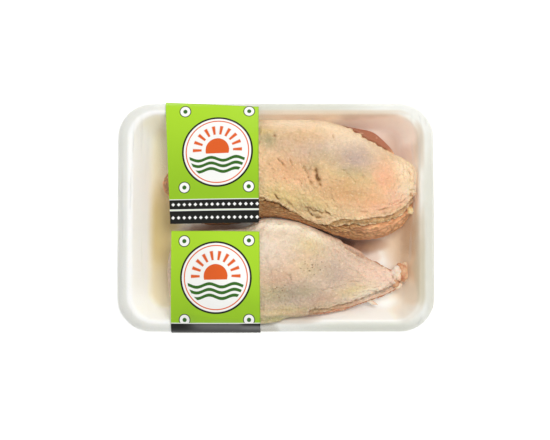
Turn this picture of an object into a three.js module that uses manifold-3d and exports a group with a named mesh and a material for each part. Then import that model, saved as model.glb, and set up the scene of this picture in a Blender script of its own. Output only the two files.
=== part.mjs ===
// A retail pack of two raw chicken breasts with the skin on, in a white foam tray wrapped in clear film,
// with a printed panel over each breast. Millimetres, +Z up. The origin is the middle of the underside,
// +X runs along the tray and +Y to its back edge.
import * as THREE from "three";
import { mergeVertices } from "three/addons/utils/BufferGeometryUtils.js";
import Module from "manifold-3d";

const wasm = await Module();
wasm.setup();

// Driving dimensions: the film, and the tray inside it.
const FILM_THICKNESS = 0.4;
const CLEARANCE = 0.35;
const TRAY_BASE = FILM_THICKNESS + CLEARANCE;
const TRAY_LENGTH = 228.6;
const TRAY_WIDTH = 165.1;
const TRAY_CORNER = 25;
const SIDE_SHARE = 0.75; // the long sides are steeper, so their insets are this share of the ends' insets
const CORNER_SHARE = 0.6; // how fast the corner radius shrinks with the inset
const SMALLEST_CORNER = 3;

// The tray's section, as insets from its outer edge and heights over its base.
const FLOOR_THICKNESS = 3.5;
const CREST_INSET = 10;
const CREST_HEIGHT = 25.3;
const LIP_EDGE_HEIGHT = 18;
const LIP_THICKNESS = 2.6;
const WALL_TOP = { inset: 12, height: 23.4 };
const WALL_FOOT = { inset: 24, height: 5 };
const FLOOR_INSET = 27;
const WALL_THICKNESS = 2.8;
const CENTRE_INSET = 106;

// Steps round a ring: each corner is an arc, and each side is split evenly.
const CORNER_STEPS = 6;
const TRAY_STEPS = { end: 2, side: 3 };
const FILM_STEPS = { end: 11, side: 17 };

const { cos, sin, sqrt, abs, min, max, hypot, atan2, PI } = Math;
const lerp = THREE.MathUtils.lerp;
const smooth = THREE.MathUtils.smoothstep;

// Rounded rectangles

function cornerRadius(inset, halfY) {
  return min(max(TRAY_CORNER - CORNER_SHARE * inset, SMALLEST_CORNER), halfY);
}

function halfSizes(inset) {
  const x = TRAY_LENGTH / 2 - inset;
  const y = TRAY_WIDTH / 2 - inset * SIDE_SHARE;
  return { x, y, r: cornerRadius(inset, y) };
}

// One ring of the tray or film at an inset and a height, counter-clockwise from the right-hand end.
function ringAt(inset, steps, heightAt) {
  const half = halfSizes(inset);
  const corners = [
    { x: half.x - half.r, y: half.y - half.r, steps: steps.side },
    { x: half.r - half.x, y: half.y - half.r, steps: steps.end },
    { x: half.r - half.x, y: half.r - half.y, steps: steps.side },
    { x: half.x - half.r, y: half.r - half.y, steps: steps.end },
  ];
  const arcPoint = (corner, angle) =>
    new THREE.Vector2(corner.x + half.r * cos(angle), corner.y + half.r * sin(angle));
  const points = [];
  corners.forEach((corner, k) => {
    for (let i = 0; i < CORNER_STEPS; i++) {
      points.push(arcPoint(corner, (PI / 2) * (k + i / CORNER_STEPS)));
    }
    const from = arcPoint(corner, (PI / 2) * (k + 1));
    const to = arcPoint(corners[(k + 1) % corners.length], (PI / 2) * (k + 1));
    for (let i = 0; i < corner.steps; i++) {
      points.push(from.clone().lerp(to, i / corner.steps));
    }
  });
  return points.map((p) => new THREE.Vector3(p.x, p.y, heightAt(p.x, p.y)));
}

// Distance outside (positive) or inside (negative) the rounded rectangle at an inset.
function distanceTo(inset, x, y) {
  const half = halfSizes(inset);
  const qx = abs(x) - half.x + half.r;
  const qy = abs(y) - half.y + half.r;
  return hypot(max(qx, 0), max(qy, 0)) + min(max(qx, qy), 0) - half.r;
}

function insetOf(x, y, most) {
  let low = -5;
  let high = most;
  for (let i = 0; i < 18; i++) {
    const middle = (low + high) / 2;
    if (distanceTo(middle, x, y) < 0) low = middle;
    else high = middle;
  }
  return (low + high) / 2;
}

// Closed bodies from rings

const centreOf = (ring) =>
  ring.reduce((sum, p) => sum.add(p), new THREE.Vector3()).divideScalar(ring.length);

// Joins rings of equal length in order, and closes the first and last with a fan to a middle point.
function bodyFromRings(rings, first = centreOf(rings[0]), last = centreOf(rings.at(-1))) {
  const count = rings[0].length;
  const points = [first, ...rings.flat(), last];
  const index = [];
  const at = (k, i) => 1 + k * count + (i % count);
  for (let i = 0; i < count; i++) {
    index.push(0, at(0, i), at(0, i + 1));
    for (let k = 0; k + 1 < rings.length; k++) {
      index.push(at(k, i), at(k + 1, i), at(k + 1, i + 1));
      index.push(at(k, i), at(k + 1, i + 1), at(k, i + 1));
    }
    index.push(at(rings.length - 1, i + 1), at(rings.length - 1, i), points.length - 1);
  }
  return new THREE.BufferGeometry().setFromPoints(points).setIndex(index);
}

function manifoldOf(geometry) {
  const merged = mergeVertices(geometry, 1e-4);
  return new wasm.Manifold(
    new wasm.Mesh({
      numProp: 3,
      vertProperties: merged.attributes.position.array,
      triVerts: new Uint32Array(merged.index.array),
    }),
  );
}

function geometryOf(solid) {
  const mesh = solid.getMesh();
  return new THREE.BufferGeometry()
    .setAttribute("position", new THREE.BufferAttribute(mesh.vertProperties, 3))
    .setIndex(new THREE.BufferAttribute(mesh.triVerts, 1));
}

// The tray: floor, sloping walls and a lip that rolls outwards and down.

// Height of the lip's upper face over the tray's base, a quarter ellipse from its edge to its crest.
function lipHeight(inset) {
  const across = 1 - min(max(inset / CREST_INSET, 0), 1);
  return lerp(LIP_EDGE_HEIGHT, CREST_HEIGHT, sqrt(1 - across * across));
}

const LIP_STEPS = [0.6, 0.3, 0.13, 0.03]; // shares of the crest's inset, from the crest outwards

function trayProfile() {
  const inside = [
    [CENTRE_INSET, FLOOR_THICKNESS],
    [FLOOR_INSET, FLOOR_THICKNESS],
    [WALL_FOOT.inset, WALL_FOOT.height],
    [WALL_TOP.inset, WALL_TOP.height],
    [CREST_INSET, CREST_HEIGHT],
  ];
  const lip = LIP_STEPS.map((share) => [share * CREST_INSET, lipHeight(share * CREST_INSET)]);
  const underLip = LIP_EDGE_HEIGHT - LIP_THICKNESS;
  const outside = [
    [0, LIP_EDGE_HEIGHT - LIP_THICKNESS / 2],
    [LIP_THICKNESS / 2, underLip],
    [LIP_THICKNESS, underLip + 0.6],
    [CREST_INSET - LIP_THICKNESS, CREST_HEIGHT - LIP_THICKNESS - 1.4],
    [WALL_TOP.inset - WALL_THICKNESS / 2, WALL_TOP.height - 2 * LIP_THICKNESS / 3 - 1.5],
    [WALL_FOOT.inset - WALL_THICKNESS, WALL_FOOT.height - FLOOR_THICKNESS],
    [WALL_FOOT.inset, 0],
    [CENTRE_INSET, 0],
  ];
  return [...inside, ...lip, ...outside];
}

function trayGeometry() {
  const rings = trayProfile().map(([inset, height]) => ringAt(inset, TRAY_STEPS, () => TRAY_BASE + height));
  return bodyFromRings(rings);
}

// The breasts: each is a dome of skin over a lower body of flesh, drawn round a closed outline.

const OUTLINE_STEPS = 60;
const DOME_SHARES = [0.16, 0.32, 0.47, 0.6, 0.71, 0.8, 0.88, 0.94, 0.98, 1];
const UNDER_SHARES = [0.96, 0.86]; // the sides tuck in below the widest line
const TUCK_HEIGHT = 0.45; // the first of them is at this share of the widest line's height
const EDGE_ROUNDING = 1 / 2.1;
const REST = TRAY_BASE + FLOOR_THICKNESS + CLEARANCE;
const WALL_GAP = 1.8;
const LOW_WIDEST = 17; // height of the widest line, away from the tray's walls
const HIGH_WIDEST = TRAY_BASE + CREST_HEIGHT + 4; // where a side bulges over the tray's crest
const WIDEST_SHARE = 0.55; // and at most this share of the breast's height
const ON_WALL = 2.2; // meat lying on the wall is at least this much over it
const CREST_BACK = 2.2; // how far inside the crest a low side stays

// Outlines are the edges of the skin seen from above, counter-clockwise from the right-hand end.
const BACK = {
  outline: [
    [104, 18], [102.5, 30], [97, 41.5], [88, 45.5], [80, 48], [68, 55.3], [49, 64.8], [32, 70.2],
    [4, 71.2], [-26, 70], [-52, 64.5], [-70, 51], [-77, 34], [-76, 14], [-62, -2], [-36, -6.5],
    [-10, -1.8], [12, -1.8], [36, -10], [60, -15], [78, -14.6], [92, -4], [100.5, 7],
  ],
  middle: [16, 30],
  crown: [[-75, 36], [-20, 45], [45, 49.5], [104, 41]], // height of the ridge along X
  edgePower: 2.7,
  fleshShows: [
    { angle: 0.62, spread: 0.28, reach: 6.5 },
    { angle: PI * 1.02, spread: 0.1, reach: 8 },
  ],
};
const FRONT = {
  outline: [
    [92, -45], [89.5, -39], [82, -36.5], [73, -30.5], [61, -23], [48, -18.6], [34, -12.6], [20, -6.8],
    [6, -4.2], [-10, -4.6], [-24, -9.4], [-46, -10], [-68, -13], [-77, -27], [-78, -46], [-74, -64],
    [-60, -74.5], [-36, -75], [-10, -74.6], [10, -72.4], [38, -68], [66, -60], [82, -54], [89.5, -51.5],
  ],
  middle: [-14, -41],
  crown: [[-78, 37], [-35, 46], [15, 42], [60, 30], [98, 27]],
  edgePower: 2.5,
  fleshShows: [
    { angle: 0, spread: 0.09, reach: 9 },
    { angle: 0.3, spread: 0.1, reach: 5 },
    { angle: -0.42, spread: 0.22, reach: 2 },
  ],
};
const FLESH_INSIDE = 3.2; // elsewhere the flesh stays this far inside the skin's edge
const FLESH_SHARE = 0.72; // and its crown is this share of the skin's height

// Height of the ridge at x, smoothly between the listed places.
function ridgeHeight(crown, x) {
  const next = crown.findIndex(([place]) => place > x);
  if (next < 0) return crown.at(-1)[1];
  if (next === 0) return crown[0][1];
  const [[x0, z0], [x1, z1]] = [crown[next - 1], crown[next]];
  return lerp(z0, z1, smooth(x, x0, x1));
}

function outlineCurve(breast) {
  const points = breast.outline.map(([x, y]) => new THREE.Vector3(x, y, 0));
  return new THREE.CatmullRomCurve3(points, true, "catmullrom", 0.5);
}

// The outline's distance from the breast's middle, in every direction.
function outlineRadius(breast) {
  const curve = outlineCurve(breast);
  const [cx, cy] = breast.middle;
  const fine = curve.getPoints(1440).map((p) => {
    return { angle: atan2(p.y - cy, p.x - cx), radius: hypot(p.x - cx, p.y - cy) };
  });
  fine.sort((a, b) => a.angle - b.angle);
  return (angle) => {
    const wrapped = atan2(sin(angle), cos(angle));
    const next = fine.findIndex((p) => p.angle >= wrapped);
    return next < 0 ? fine[0].radius : fine[next].radius;
  };
}

function fleshRadius(breast, radius) {
  return (angle) => {
    const shown = breast.fleshShows.map(({ angle: at, spread, reach }) => {
      const off = atan2(sin(angle - at), cos(angle - at)) / spread;
      return (reach + FLESH_INSIDE) * Math.exp(-(off ** 4));
    });
    return radius(angle) - FLESH_INSIDE + max(...shown);
  };
}

const WALL_SLOPE = (WALL_TOP.height - WALL_FOOT.height) / (WALL_FOOT.inset - WALL_TOP.inset);

// The widest line is low over the floor, rises with the wall where the meat lies on it, and is lifted
// over the crest where the side reaches that.
function widestHeight(x, y, top) {
  const nearCrest = smooth(distanceTo(CREST_INSET, x, y), -8, -2);
  const open = min(lerp(LOW_WIDEST, HIGH_WIDEST, nearCrest), REST + WIDEST_SHARE * (top - REST));
  const upWall = (WALL_FOOT.inset - insetOf(x, y, WALL_FOOT.inset)) * WALL_SLOPE;
  return max(open, TRAY_BASE + WALL_FOOT.height + upWall + ON_WALL);
}

// Moves a point in from the tray's wall, crest and lip, where it would touch them.
function keepOffTray(point) {
  const height = point.z - TRAY_BASE - WALL_GAP;
  if (height > CREST_HEIGHT) return point;
  const inset =
    height > WALL_TOP.height
      ? CREST_INSET + CREST_BACK
      : min(WALL_FOOT.inset - (height - WALL_FOOT.height) / WALL_SLOPE, FLOOR_INSET);
  const outside = distanceTo(inset, point.x, point.y) + WALL_GAP;
  if (outside <= 0) return point;
  const step = 0.01;
  const slopeX = (distanceTo(inset, point.x + step, point.y) - distanceTo(inset, point.x, point.y)) / step;
  const slopeY = (distanceTo(inset, point.x, point.y + step) - distanceTo(inset, point.x, point.y)) / step;
  return point.setX(point.x - slopeX * outside).setY(point.y - slopeY * outside);
}

// Low, broad lumps of the muscle under the skin.
function lumps(x, y) {
  return 0.9 * sin(x / 9 + 0.6) * sin(y / 8 + x / 30) + 0.5 * sin(x / 4.8 - y / 6.5);
}

function domeHeight(breast, share, x, y, topShare) {
  const top = REST + (ridgeHeight(breast.crown, x) - REST) * topShare;
  const widest = widestHeight(x, y, top);
  const rise = (1 - share ** breast.edgePower) ** EDGE_ROUNDING;
  return lerp(widest, top, rise) + lumps(x, y) * rise * topShare;
}

// Rings of the dome run through points spaced evenly round the outline.
function domeGeometry(breast, radius, topShare) {
  const [cx, cy] = breast.middle;
  const rings = [];
  const spaced = outlineCurve(breast).getSpacedPoints(OUTLINE_STEPS).slice(0, OUTLINE_STEPS);
  const angles = spaced.map((p) => atan2(p.y - cy, p.x - cx));
  const ring = (share, heightAt) =>
    angles.map((angle) => {
      const x = cx + share * radius(angle) * cos(angle);
      const y = cy + share * radius(angle) * sin(angle);
      return keepOffTray(new THREE.Vector3(x, y, heightAt(x, y)));
    });
  for (const share of DOME_SHARES) {
    rings.push(ring(share, (x, y) => domeHeight(breast, share, x, y, topShare)));
  }
  const [upper, lower] = UNDER_SHARES;
  rings.push(ring(upper, (x, y) => lerp(REST, domeHeight(breast, 1, x, y, topShare), TUCK_HEIGHT)));
  rings.push(ring(lower, () => REST));
  const crown = new THREE.Vector3(cx, cy, domeHeight(breast, 0, cx, cy, topShare));
  return bodyFromRings(rings, crown, new THREE.Vector3(cx, cy, REST));
}

function breastGeometry(breast) {
  const radius = outlineRadius(breast);
  const skin = manifoldOf(domeGeometry(breast, radius, 1));
  const flesh = manifoldOf(domeGeometry(breast, fleshRadius(breast, radius), FLESH_SHARE));
  return geometryOf(skin.add(flesh).simplify(0.05));
}

// The film: stretched over the lip and the breasts like a drumhead, pulled taut down the sides and
// folded flat under the base, where the folds leave a slot open in the middle.

const GRID_STEP = 2.2;
const FILM_GAP = 1.3; // clear of the breasts
const FREE_INSET = 2.5; // inside this the film lies free on the lip and whatever rises above it
const STRETCH_ROUNDS = 420;
const OVERSHOOT = 1.7; // each round moves a point this much further than its neighbours' mean
const FILM_REACH = CLEARANCE + FILM_THICKNESS;
const FILM_RINGS = [98, 88, 78, 68, 58, 48.5, 40, 32.5, 26, 20.5, 16, 12.5, 9.5, 6.2, 3.4];
const LIP_EDGE_STEPS = LIP_STEPS.slice(2);
const BASE_FOLD_INSET = WALL_FOOT.inset - 1;
const SLOT_INSET = 102;

function breastTop(breasts, x, y) {
  return max(
    ...breasts.flatMap(({ breast, radius }) => {
      const [cx, cy] = breast.middle;
      const angle = atan2(y - cy, x - cx);
      const out = hypot(x - cx, y - cy);
      const skinShare = out / radius(angle);
      const fleshShare = out / fleshRadius(breast, radius)(angle);
      return [
        skinShare < 1 ? domeHeight(breast, skinShare, x, y, 1) : 0,
        fleshShare < 1 ? domeHeight(breast, fleshShare, x, y, FLESH_SHARE) : 0,
      ];
    }),
  );
}

// Solves the stretched sheet on a grid: each point is the mean of its neighbours, but never under what
// it lies on.
function stretchedHeights(breasts) {
  const nx = Math.ceil(TRAY_LENGTH / 2 / GRID_STEP) + 1;
  const ny = Math.ceil(TRAY_WIDTH / 2 / GRID_STEP) + 1;
  const wide = 2 * nx + 1;
  const tall = 2 * ny + 1;
  const height = new Float64Array(wide * tall);
  const under = new Float64Array(wide * tall);
  const free = new Uint8Array(wide * tall);
  for (let j = 0; j < tall; j++) {
    for (let i = 0; i < wide; i++) {
      const [x, y] = [(i - nx) * GRID_STEP, (j - ny) * GRID_STEP];
      const k = j * wide + i;
      const inset = insetOf(x, y, CREST_INSET);
      const overLip = inset < CREST_INSET - 0.01;
      free[k] = inset > FREE_INSET ? 1 : 0;
      const lip = overLip ? TRAY_BASE + CLEARANCE + lipHeight(inset) : 0;
      under[k] = max(breastTop(breasts, x, y) + FILM_GAP, lip);
      height[k] = free[k] ? max(under[k], TRAY_BASE + CREST_HEIGHT) : lip;
    }
  }
  for (let round = 0; round < STRETCH_ROUNDS; round++) {
    for (let k = wide; k < wide * (tall - 1); k++) {
      if (!free[k]) continue;
      const mean = (height[k - 1] + height[k + 1] + height[k - wide] + height[k + wide]) / 4;
      height[k] = max(lerp(height[k], mean, OVERSHOOT), under[k]);
    }
  }
  return (x, y) => {
    const [u, v] = [x / GRID_STEP + nx, y / GRID_STEP + ny];
    const [i, j] = [Math.floor(u), Math.floor(v)];
    const k = j * wide + i;
    const near = lerp(height[k], height[k + 1], u - i);
    const far = lerp(height[k + wide], height[k + wide + 1], u - i);
    return lerp(near, far, v - j);
  };
}

// Rings of the film's face at a distance outside its inner face, from the top's middle to the slot.
function filmRings(heightAt, offset) {
  const reach = CLEARANCE + offset;
  const rings = FILM_RINGS.map((inset) => ringAt(inset, FILM_STEPS, (x, y) => heightAt(x, y) + offset));
  for (const share of LIP_EDGE_STEPS) {
    const inset = share * CREST_INSET - reach * (1 - share);
    const height = TRAY_BASE + lipHeight(share * CREST_INSET) + reach * sqrt(share);
    rings.push(ringAt(inset, FILM_STEPS, () => height));
  }
  rings.push(ringAt(-reach, FILM_STEPS, () => TRAY_BASE + LIP_EDGE_HEIGHT - LIP_THICKNESS));
  const base = FILM_THICKNESS - offset;
  rings.push(ringAt(BASE_FOLD_INSET - offset, FILM_STEPS, () => base));
  rings.push(ringAt(SLOT_INSET, FILM_STEPS, () => base));
  return rings;
}

function filmGeometry(heightAt) {
  const outer = filmRings(heightAt, FILM_THICKNESS);
  const inner = filmRings(heightAt, 0).reverse();
  return bodyFromRings([...outer, ...inner]);
}

// The printed panels: strips laid on the film from back to front. The front one runs on over the lip.

const PANEL_THICKNESS = 0.3;
const PANEL_GAP = 0.8;
const PANEL_COLUMNS = 10;
const PANEL_ROWS = 16;
const BACK_PANEL = {
  left: [-79.7, -76],
  right: [-13.2, -12.3],
  start: [81.2, 78.4],
  end: [-4.5, -4.5],
  overLip: false,
};
const FRONT_PANEL = {
  left: [-75.4, -75],
  right: [-11.8, -11],
  start: [-10.3, -10.3],
  end: [-79.8, -79.8],
  overLip: true,
};

// Height of the film's upper face over a point.
function filmTopFinder(film) {
  const mesh = new THREE.Mesh(film, new THREE.MeshBasicMaterial({ side: THREE.DoubleSide }));
  const ray = new THREE.Raycaster();
  const down = new THREE.Vector3(0, 0, -1);
  return (x, y) => {
    ray.set(new THREE.Vector3(x, y, 200), down);
    return ray.intersectObject(mesh)[0].point.z;
  };
}

// Points along a panel at a given x, each a place along Y and a height on the film.
function panelLine(panel, filmTop, x, u) {
  const start = lerp(panel.start[0], panel.start[1], u);
  const end = lerp(panel.end[0], panel.end[1], u);
  const line = [];
  for (let row = 0; row <= PANEL_ROWS; row++) {
    const y = lerp(end, start, (1 - row / PANEL_ROWS) ** 1.2);
    line.push(new THREE.Vector2(y, filmTop(x, y)));
  }
  if (panel.overLip) {
    for (const share of LIP_EDGE_STEPS) {
      const inset = SIDE_SHARE * (share * CREST_INSET - FILM_REACH * (1 - share));
      const z = TRAY_BASE + lipHeight(share * CREST_INSET) + FILM_REACH * sqrt(share);
      line.push(new THREE.Vector2(inset - TRAY_WIDTH / 2, z));
    }
    const lipEdge = -TRAY_WIDTH / 2 - FILM_REACH * SIDE_SHARE;
    line.push(new THREE.Vector2(lipEdge, TRAY_BASE + LIP_EDGE_HEIGHT - LIP_THICKNESS));
  }
  return line;
}

function panelGeometry(panel, filmTop) {
  const lower = [];
  const upper = [];
  let rows = 0;
  for (let column = 0; column <= PANEL_COLUMNS; column++) {
    const u = column / PANEL_COLUMNS;
    const middleX = lerp(panel.left[1], panel.right[1], u);
    const line = panelLine(panel, filmTop, middleX, u);
    rows = line.length;
    line.forEach((point, row) => {
      const before = line[max(row - 1, 0)];
      const after = line[min(row + 1, rows - 1)];
      const along = after.clone().sub(before).normalize();
      const v = row / (rows - 1);
      const x = lerp(lerp(panel.left[0], panel.left[1], v), lerp(panel.right[0], panel.right[1], v), u);
      const raised = (out) => new THREE.Vector3(x, point.x + along.y * out, point.y - along.x * out);
      lower.push(raised(PANEL_GAP));
      upper.push(raised(PANEL_GAP + PANEL_THICKNESS));
    });
  }
  return sheetBody(lower, upper, PANEL_COLUMNS + 1, rows);
}

// Closes a lower and an upper grid of points into one thin body, with both faces split alike.
function sheetBody(lower, upper, columns, rows) {
  const index = [];
  const at = (side, column, row) => side * columns * rows + column * rows + row;
  const quad = (a, b, c, d) => index.push(a, b, c, a, c, d);
  for (let i = 0; i + 1 < columns; i++) {
    for (let j = 0; j + 1 < rows; j++) {
      quad(at(1, i, j), at(1, i, j + 1), at(1, i + 1, j + 1), at(1, i + 1, j));
      index.push(at(0, i, j), at(0, i + 1, j + 1), at(0, i, j + 1));
      index.push(at(0, i, j), at(0, i + 1, j), at(0, i + 1, j + 1));
    }
  }
  for (let i = 0; i + 1 < columns; i++) {
    quad(at(0, i, 0), at(1, i, 0), at(1, i + 1, 0), at(0, i + 1, 0));
    quad(at(0, i + 1, rows - 1), at(1, i + 1, rows - 1), at(1, i, rows - 1), at(0, i, rows - 1));
  }
  for (let j = 0; j + 1 < rows; j++) {
    quad(at(0, 0, j + 1), at(1, 0, j + 1), at(1, 0, j), at(0, 0, j));
    quad(at(0, columns - 1, j), at(1, columns - 1, j), at(1, columns - 1, j + 1), at(0, columns - 1, j + 1));
  }
  return new THREE.BufferGeometry().setFromPoints([...lower, ...upper]).setIndex(index);
}

// Materials

const foam = new THREE.MeshStandardMaterial({ color: 0xf1f0ea, roughness: 0.6 });
const skin = new THREE.MeshStandardMaterial({ color: 0xe6c49a, roughness: 0.42 });
const clearFilm = new THREE.MeshStandardMaterial({
  color: 0xffffff,
  roughness: 0.12,
  transparent: true,
  opacity: 0.15,
});
const print = new THREE.MeshStandardMaterial({ color: 0xa6d92b, roughness: 0.35 });

// The pack

function named(name, geometry, material) {
  geometry.computeVertexNormals();
  const mesh = new THREE.Mesh(geometry, material);
  mesh.name = name;
  return mesh;
}

const breasts = [BACK, FRONT].map((breast) => ({ breast, radius: outlineRadius(breast) }));
const film = filmGeometry(stretchedHeights(breasts));
const filmTop = filmTopFinder(film);

const pack = new THREE.Group();
pack.add(named("tray", trayGeometry(), foam));
pack.add(named("breast_back", breastGeometry(BACK), skin));
pack.add(named("breast_front", breastGeometry(FRONT), skin));
pack.add(named("film", film, clearFilm));
pack.add(named("panel_back", panelGeometry(BACK_PANEL, filmTop), print));
pack.add(named("panel_front", panelGeometry(FRONT_PANEL, filmTop), print));

export default pack;
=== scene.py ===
import math

import bpy
import numpy as np
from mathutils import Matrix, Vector


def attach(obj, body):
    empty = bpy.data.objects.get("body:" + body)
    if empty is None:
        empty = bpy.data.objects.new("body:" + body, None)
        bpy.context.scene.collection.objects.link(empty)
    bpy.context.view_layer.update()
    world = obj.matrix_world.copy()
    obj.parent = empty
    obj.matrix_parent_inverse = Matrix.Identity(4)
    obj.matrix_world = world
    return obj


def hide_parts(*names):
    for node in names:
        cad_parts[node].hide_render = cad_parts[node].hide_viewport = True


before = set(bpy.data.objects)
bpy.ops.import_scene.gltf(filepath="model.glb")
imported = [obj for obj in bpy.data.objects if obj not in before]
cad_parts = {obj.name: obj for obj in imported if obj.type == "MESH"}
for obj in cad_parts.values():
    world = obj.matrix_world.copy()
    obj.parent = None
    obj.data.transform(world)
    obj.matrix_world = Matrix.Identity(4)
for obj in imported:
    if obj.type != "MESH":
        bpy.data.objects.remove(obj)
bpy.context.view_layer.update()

# The tray
# One piece of white expanded polystyrene foam, thermoformed from sheet about 3.5 mm thick. Its walls slope
# out to a crest, where the lip rolls over and down. It stands on the film, which passes under it.

MM = 0.001  # lengths below are in millimetres, but for those said to be in metres

FILM_THICKNESS = 0.4
CLEARANCE = 0.35
TRAY_BASE = FILM_THICKNESS + CLEARANCE
TRAY_LENGTH = 228.6
TRAY_WIDTH = 165.1
TRAY_CORNER = 25.0
SIDE_SHARE = 0.75  # an inset of the long sides is this share of the ends' inset
CORNER_SHARE = 0.6  # how fast the corners' radius shrinks with the inset
SMALLEST_CORNER = 3.0
FLOOR_THICKNESS = 3.5
FLOOR_INSET = 27.0
WALL_FOOT = (24.0, 5.0)  # inset, and height over the tray's base
WALL_TOP = (12.0, 23.4)
CREST_INSET = 10.0
CREST_HEIGHT = 25.3
LIP_EDGE_HEIGHT = 18.0
UNDER_LIP = 15.4


class Value:
    """A number socket, so that node maths is written as Python."""

    def __init__(self, nodes, socket):
        self.nodes = nodes
        self.socket = socket

    def __add__(self, other):
        return self.nodes.math("ADD", self, other)

    def __sub__(self, other):
        return self.nodes.math("SUBTRACT", self, other)

    def __rsub__(self, other):
        return self.nodes.math("SUBTRACT", other, self)

    def __mul__(self, other):
        return self.nodes.math("MULTIPLY", self, other)

    def __truediv__(self, other):
        return self.nodes.math("DIVIDE", self, other)

    def __pow__(self, other):
        return self.nodes.math("POWER", self, other)

    def __abs__(self):
        return self.nodes.math("ABSOLUTE", self, 0)

    __radd__ = __add__
    __rmul__ = __mul__


class Nodes:
    """Adds nodes to one tree."""

    def __init__(self, tree):
        self.tree = tree

    def add(self, kind, settings=None, inputs=None):
        """One node. Its settings are set first, then the values or links of its sockets."""
        node = self.tree.nodes.new(kind)
        for name, setting in (settings or {}).items():
            setattr(node, name, setting)
        self.fill(node, inputs or {})
        return node

    def fill(self, node, inputs):
        """Values or links for several sockets of a node."""
        for name, value in inputs.items():
            self.feed(node.inputs[name], value)

    def feed(self, socket, value):
        """Links a socket to a Value or another socket, or sets it to a plain number, colour or vector."""
        if isinstance(value, Value):
            value = value.socket
        if isinstance(value, bpy.types.NodeSocket):
            self.tree.links.new(value, socket)
        else:
            socket.default_value = value

    def math(self, operation, first, second=0.0, clamp=False):
        """The outcome of a sum or other operation on one or two numbers."""
        settings = {"operation": operation, "use_clamp": clamp}
        return Value(self, self.add("ShaderNodeMath", settings, {0: first, 1: second}).outputs[0])

    def clamped(self, value):
        """The value kept between 0 and 1."""
        return self.math("ADD", value, 0.0, clamp=True)

    def smooth(self, value, low, high):
        """0 at low, 1 at high, and a smooth curve between."""
        settings = {"interpolation_type": "SMOOTHSTEP"}
        inputs = {"Value": value, "From Min": low, "From Max": high}
        return Value(self, self.add("ShaderNodeMapRange", settings, inputs).outputs[0])

    def vector(self, operation, first, second):
        """Two vectors added, multiplied or the like, part by part."""
        return self.add("ShaderNodeVectorMath", {"operation": operation}, {0: first, 1: second}).outputs[0]

    def combined(self, **parts):
        """A vector from its X, Y and Z. A part that isn't given is 0."""
        return self.add("ShaderNodeCombineXYZ", {}, parts).outputs[0]

    def parts(self, vector):
        """The X, Y and Z of a vector."""
        split = self.add("ShaderNodeSeparateXYZ", {}, {0: vector})
        return [Value(self, part) for part in split.outputs]

    def place(self):
        """Where a point of the surface is, in metres."""
        return self.add("ShaderNodeTexCoord").outputs["Object"]

    def mix(self, factor, first, second):
        """Two colours mixed: first where the factor is 0, second where it is 1."""
        return self.add("ShaderNodeMix", {"data_type": "RGBA"}, {0: factor, 6: first, 7: second}).outputs[2]

    def shaded(self, tone, amount):
        """A colour made darker or lighter by a factor."""
        return self.add("ShaderNodeVectorMath", {"operation": "SCALE"}, {0: tone, 3: amount}).outputs[0]

    def attribute(self, name):
        """A number kept on the mesh under that name."""
        return Value(self, self.add("ShaderNodeAttribute", {"attribute_name": name}).outputs["Fac"])

    def scaled(self, place, size, stretch=(1, 1, 1)):
        """A place counted in lengths of that many millimetres, longer where stretch is above 1."""
        scale = [1 / (size * MM * s) for s in stretch]
        return self.add("ShaderNodeMapping", {}, {"Vector": place, "Scale": scale}).outputs[0]

    def noise_of(self, vector, detail, roughness):
        """Noise from 0 to 1 with one lump to each unit of a vector."""
        inputs = {"Vector": vector, "Scale": 1.0, "Detail": detail, "Roughness": roughness}
        return Value(self, self.add("ShaderNodeTexNoise", {}, inputs).outputs[0])

    def noise(self, place, size, detail=2.0, roughness=0.5, stretch=(1, 1, 1)):
        """Noise from 0 to 1 with lumps of that size in millimetres."""
        return self.noise_of(self.scaled(place, size, stretch), detail, roughness)

    def cells(self, place, size, feature="F1"):
        """Distance to the nearest of scattered points about that many millimetres apart."""
        inputs = {"Vector": self.scaled(place, size), "Scale": 1.0}
        node = self.add("ShaderNodeTexVoronoi", {"feature": feature}, inputs)
        return Value(self, node.outputs["Distance"])

    def bump(self, height, depth):
        """A bump of that depth in millimetres where the height goes from 0 to 1."""
        inputs = {"Strength": 1.0, "Distance": depth * MM, "Height": height}
        return self.add("ShaderNodeBump", {}, inputs).outputs[0]


def colour(red, green, blue):
    """A screen colour, 0 to 255, as the linear colour that a node takes."""
    parts = [part / 255 for part in (red, green, blue)]
    return [p / 12.92 if p < 0.04045 else ((p + 0.055) / 1.055) ** 2.4 for p in parts] + [1.0]


def new_material(name):
    """A material with a plain Principled surface. Returns it, its nodes and the surface node."""
    material = bpy.data.materials.new(name)
    material.use_nodes = True
    nodes = Nodes(material.node_tree)
    return material, nodes, material.node_tree.nodes["Principled BSDF"]


def let_light_in(surface, weight, depth, spread):
    """Light passes into a surface: its share, its depth in millimetres, and each colour's part of that."""
    surface.inputs["Subsurface Weight"].default_value = weight
    surface.inputs["Subsurface Scale"].default_value = depth * MM
    surface.inputs["Subsurface Radius"].default_value = spread


def mesh_object(name, points, faces, material=None, attributes=None):
    """A smooth object from points in millimetres, with numbers kept on its points by name."""
    mesh = bpy.data.meshes.new(name)
    mesh.from_pydata((np.asarray(points, float) * MM).tolist(), [], faces)
    mesh.shade_smooth()
    for key, numbers in (attributes or {}).items():
        numbers = np.asarray(numbers, float)
        kind, field = ("FLOAT", "value") if numbers.ndim == 1 else ("FLOAT_VECTOR", "vector")
        mesh.attributes.new(key, kind, "POINT").data.foreach_set(field, numbers.ravel())
    if material:
        mesh.materials.append(material)
    piece = bpy.data.objects.new(name, mesh)
    bpy.context.scene.collection.objects.link(piece)
    return piece


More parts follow.
